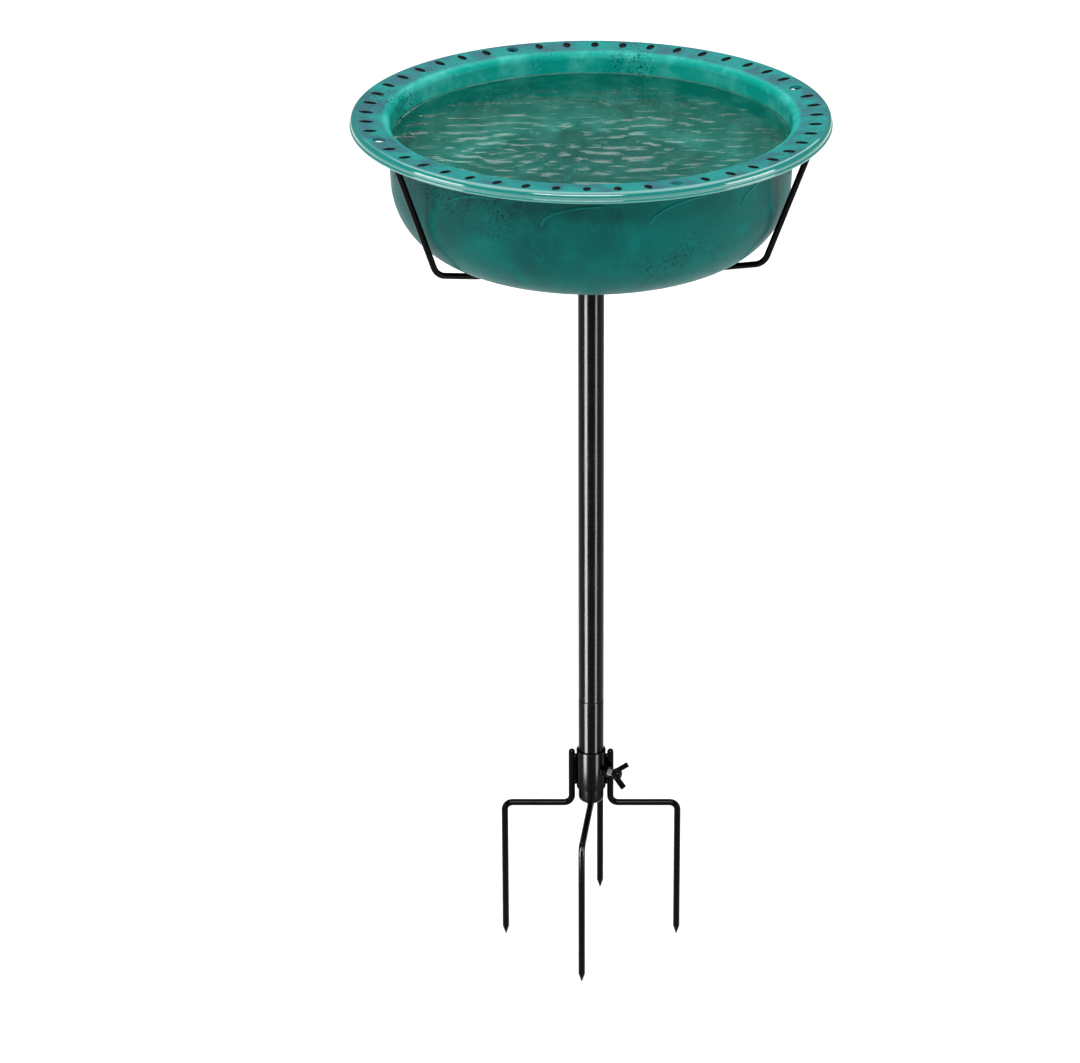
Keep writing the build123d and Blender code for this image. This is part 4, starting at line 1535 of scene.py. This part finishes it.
@dataclass
class GroundProngs:
    """Two side prongs welded to the collar and one bar bent into the front and rear prongs."""

    finishes: Finishes
    rod: float = 5.0 * MM
    bend_radius: float = 6.0 * MM
    point: tuple[float, float] = (6.5 * MM, 0.5 * MM)
    cross_reach: float = 73.2 * MM
    cross_azimuth: float = 84.5
    bead: float = 4.2 * MM
    bead_heights: tuple[float, float] = (3.8 * MM, 25.3 * MM)
    seam_bead: float = 2.4 * MM
    seam_pitch: float = 1.1 * MM
    prong_gap: float = 0.9 * MM
    cross_bead: float = 5.0 * MM
    cross_bead_offset: float = 6.0 * MM

    def build(self) -> None:
        """Build the three bars and their beads."""
        enamel, radius, drop = self.finishes.enamel, self.rod / 2, self.point[0]
        low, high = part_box("right_prong")
        run_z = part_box("cross_prong")[1].z - radius
        offset, reach, far = low.x + radius, high.x - radius, self.cross_reach
        side = [(offset, high.z - radius), (offset, run_z), (reach, run_z), (reach, drop)]
        cross = [(-far, drop), (-far, run_z), (far, run_z), (far, drop)]
        welded, pointed = (BarEnd.DOMED, BarEnd.POINTED), (BarEnd.POINTED, BarEnd.POINTED)
        for name, node, corners, ends, azimuth in (
            ("right_side_prong", "right_prong", side, welded, 0.0),
            ("left_side_prong", "left_prong", side, welded, 180.0),
            ("front_rear_prong", "cross_prong", cross, pointed, self.cross_azimuth),
        ):
            path = rounded_path(corners, [self.bend_radius] * 2, 14)
            mesh = bar(name, path, radius, ends, azimuth, self.point)
            install(mesh, enamel, Body.BASE, node)
        self.build_beads(run_z + radius)

    def build_beads(self, run_top: float) -> None:
        """Build the beads beside the collar, the seams between them and the beads under the plug."""
        enamel, collar = self.finishes.enamel, Turned.of("collar_tube")
        across = collar.radius + self.prong_gap
        rows = np.arange(*self.bead_heights, self.seam_pitch)
        welds, seams = (
            [(side * across, 0.0, collar.foot + height) for side in (-1, 1) for height in heights]
            for heights in (self.bead_heights, rows)
        )
        way = heading(self.cross_azimuth) * self.cross_bead_offset
        under = [(*(side * way), run_top) for side in (-1, 1)]
        for name, beads, nodes in (
            ("side_weld_beads", WeldBeads(welds, self.bead / 2), ["prong_weld_beads"]),
            ("side_weld_seams", WeldBeads(seams, self.seam_bead / 2, fineness=3), []),
            ("plug_weld_beads", WeldBeads(under, self.cross_bead / 2), []),
        ):
            install(beads.piece(name, enamel.material), enamel, Body.BASE, *nodes)


# ---------------------------------------------------------------- studio


UPRIGHT_TUBES = ("lower_pole", "upper_pole", "clamp_collar", "collar_plug", "front_rear_prong")
SMALL_PIECES = ("left_side_prong", "right_side_prong", "side_weld_beads", "weld_nut", "wing_head")
ALL_ENAMEL = UPRIGHT_TUBES + SMALL_PIECES


@dataclass(frozen=True)
class Softbox:
    """A rectangular soft light that points at a target."""

    name: str
    place: tuple[float, float, float]
    target: tuple[float, float, float]
    width: float
    height: float
    watts: float
    falls_on: tuple[str, ...] = ()

    def build(self) -> None:
        """Hang the light. Flags hold it off every piece but those that it names, if it names any."""
        data = bpy.data.lights.new(self.name, "AREA")
        data.shape = "RECTANGLE"
        data.size, data.size_y, data.energy = self.width, self.height, self.watts
        lamp = bpy.data.objects.new(self.name, data)
        bpy.context.scene.collection.objects.link(lamp)
        lamp.location = self.place
        aim = Vector(self.target) - Vector(self.place)
        lamp.rotation_euler = aim.to_track_quat("-Z", "Y").to_euler()
        lamp.visible_camera = False
        if self.falls_on:
            takers = bpy.data.collections.new(f"{self.name}_takers")
            for piece in self.falls_on:
                takers.objects.link(bpy.data.objects[piece])
            lamp.light_linking.receiver_collection = takers


@dataclass
class Studio:
    """Pale floor, soft lights, pale surroundings and the camera."""

    floor_size: float = 60.0
    surround: Colour = grey(250)
    surround_strength: float = 0.16
    camera_place: tuple[float, float, float] = (0.0, -2.799, 1.5996)
    camera_pitch: float = math.radians(24.268)
    camera_far: float = 100.0
    lens: float = 139.26
    sensor: float = 36.0
    shift_x: float = -0.0473
    lights: tuple[Softbox, ...] = (
        Softbox("overhead_softbox", (0.0, 1.4, 4.5), (0.0, 1.4, 0.0), 6.0, 6.0, 300.0),
        Softbox("front_softbox", (-0.3, -2.6, 2.9), (0.0, 0.0, 0.62), 2.2, 0.8, 72.0),
        Softbox("back_softbox", (0.3, 2.4, 2.25), (0.0, 0.0, 0.6), 2.6, 0.8, 15.0),
        Softbox("left_softbox", (-2.7, -0.8, 0.75), (0.0, 0.0, 0.6), 1.4, 1.4, 42.0),
        Softbox("right_softbox", (2.7, -0.6, 0.75), (0.0, 0.0, 0.6), 1.4, 1.4, 38.0),
        Softbox("high_strip", (0.0, -1.1, 1.0), (0.0, 0.0, 0.15), 1.2, 0.25, 40.0, ALL_ENAMEL),
        Softbox("left_strip", (-0.177, -0.177, 0.24), (0.0, 0.0, 0.24), 0.10, 0.46, 17.0, UPRIGHT_TUBES),
        Softbox("right_strip", (0.177, -0.177, 0.24), (0.0, 0.0, 0.24), 0.06, 0.46, 5.5, UPRIGHT_TUBES),
    )

    def build(self) -> None:
        """Lay the floor, hang the lights and set up the camera."""
        half = self.floor_size / 2
        corners = half * np.array([(-1.0, -1.0, 0.0), (1.0, -1.0, 0.0), (1.0, 1.0, 0.0), (-1.0, 1.0, 0.0)])
        mesh = new_mesh("studio_floor", corners, [(0, 1, 2, 3)])
        link("studio_floor", mesh, PaleFloor().material())
        for light in self.lights:
            light.build()
        scene = bpy.context.scene
        world = bpy.data.worlds.new("pale_surround")
        scene.world = world
        world.use_nodes = True
        sky = world.node_tree.nodes["Background"]
        sky.inputs["Color"].default_value = self.surround
        sky.inputs["Strength"].default_value = self.surround_strength
        scene.view_settings.view_transform = "Standard"
        data = bpy.data.cameras.new("camera")
        data.lens, data.sensor_width, data.shift_x = self.lens, self.sensor, self.shift_x
        data.clip_end = self.camera_far
        camera = bpy.data.objects.new("camera", data)
        scene.collection.objects.link(camera)
        camera.location = self.camera_place
        camera.rotation_euler = (math.pi / 2 - self.camera_pitch, 0.0, 0.0)
        scene.camera = camera


def main() -> None:
    """Load the frame, build every sub-assembly round it and set the stage."""
    logging.basicConfig(level=logging.INFO, format="%(message)s")
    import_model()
    finishes = Finishes(
        Finish(Enamel().material(), Slot.ENAMEL), Finish(Zinc().material(), Slot.ZINC)
    )
    shell = BowlShell()
    for assembly in (
        shell,
        Water(shell),
        WireCradle(shell, finishes),
        Pole(finishes),
        ClampCollar(finishes),
        WingScrew(finishes),
        GroundProngs(finishes),
        Studio(),
    ):
        assembly.build()
        LOG.info("built %s", type(assembly).__name__)


if __name__ == "__main__":
    main()
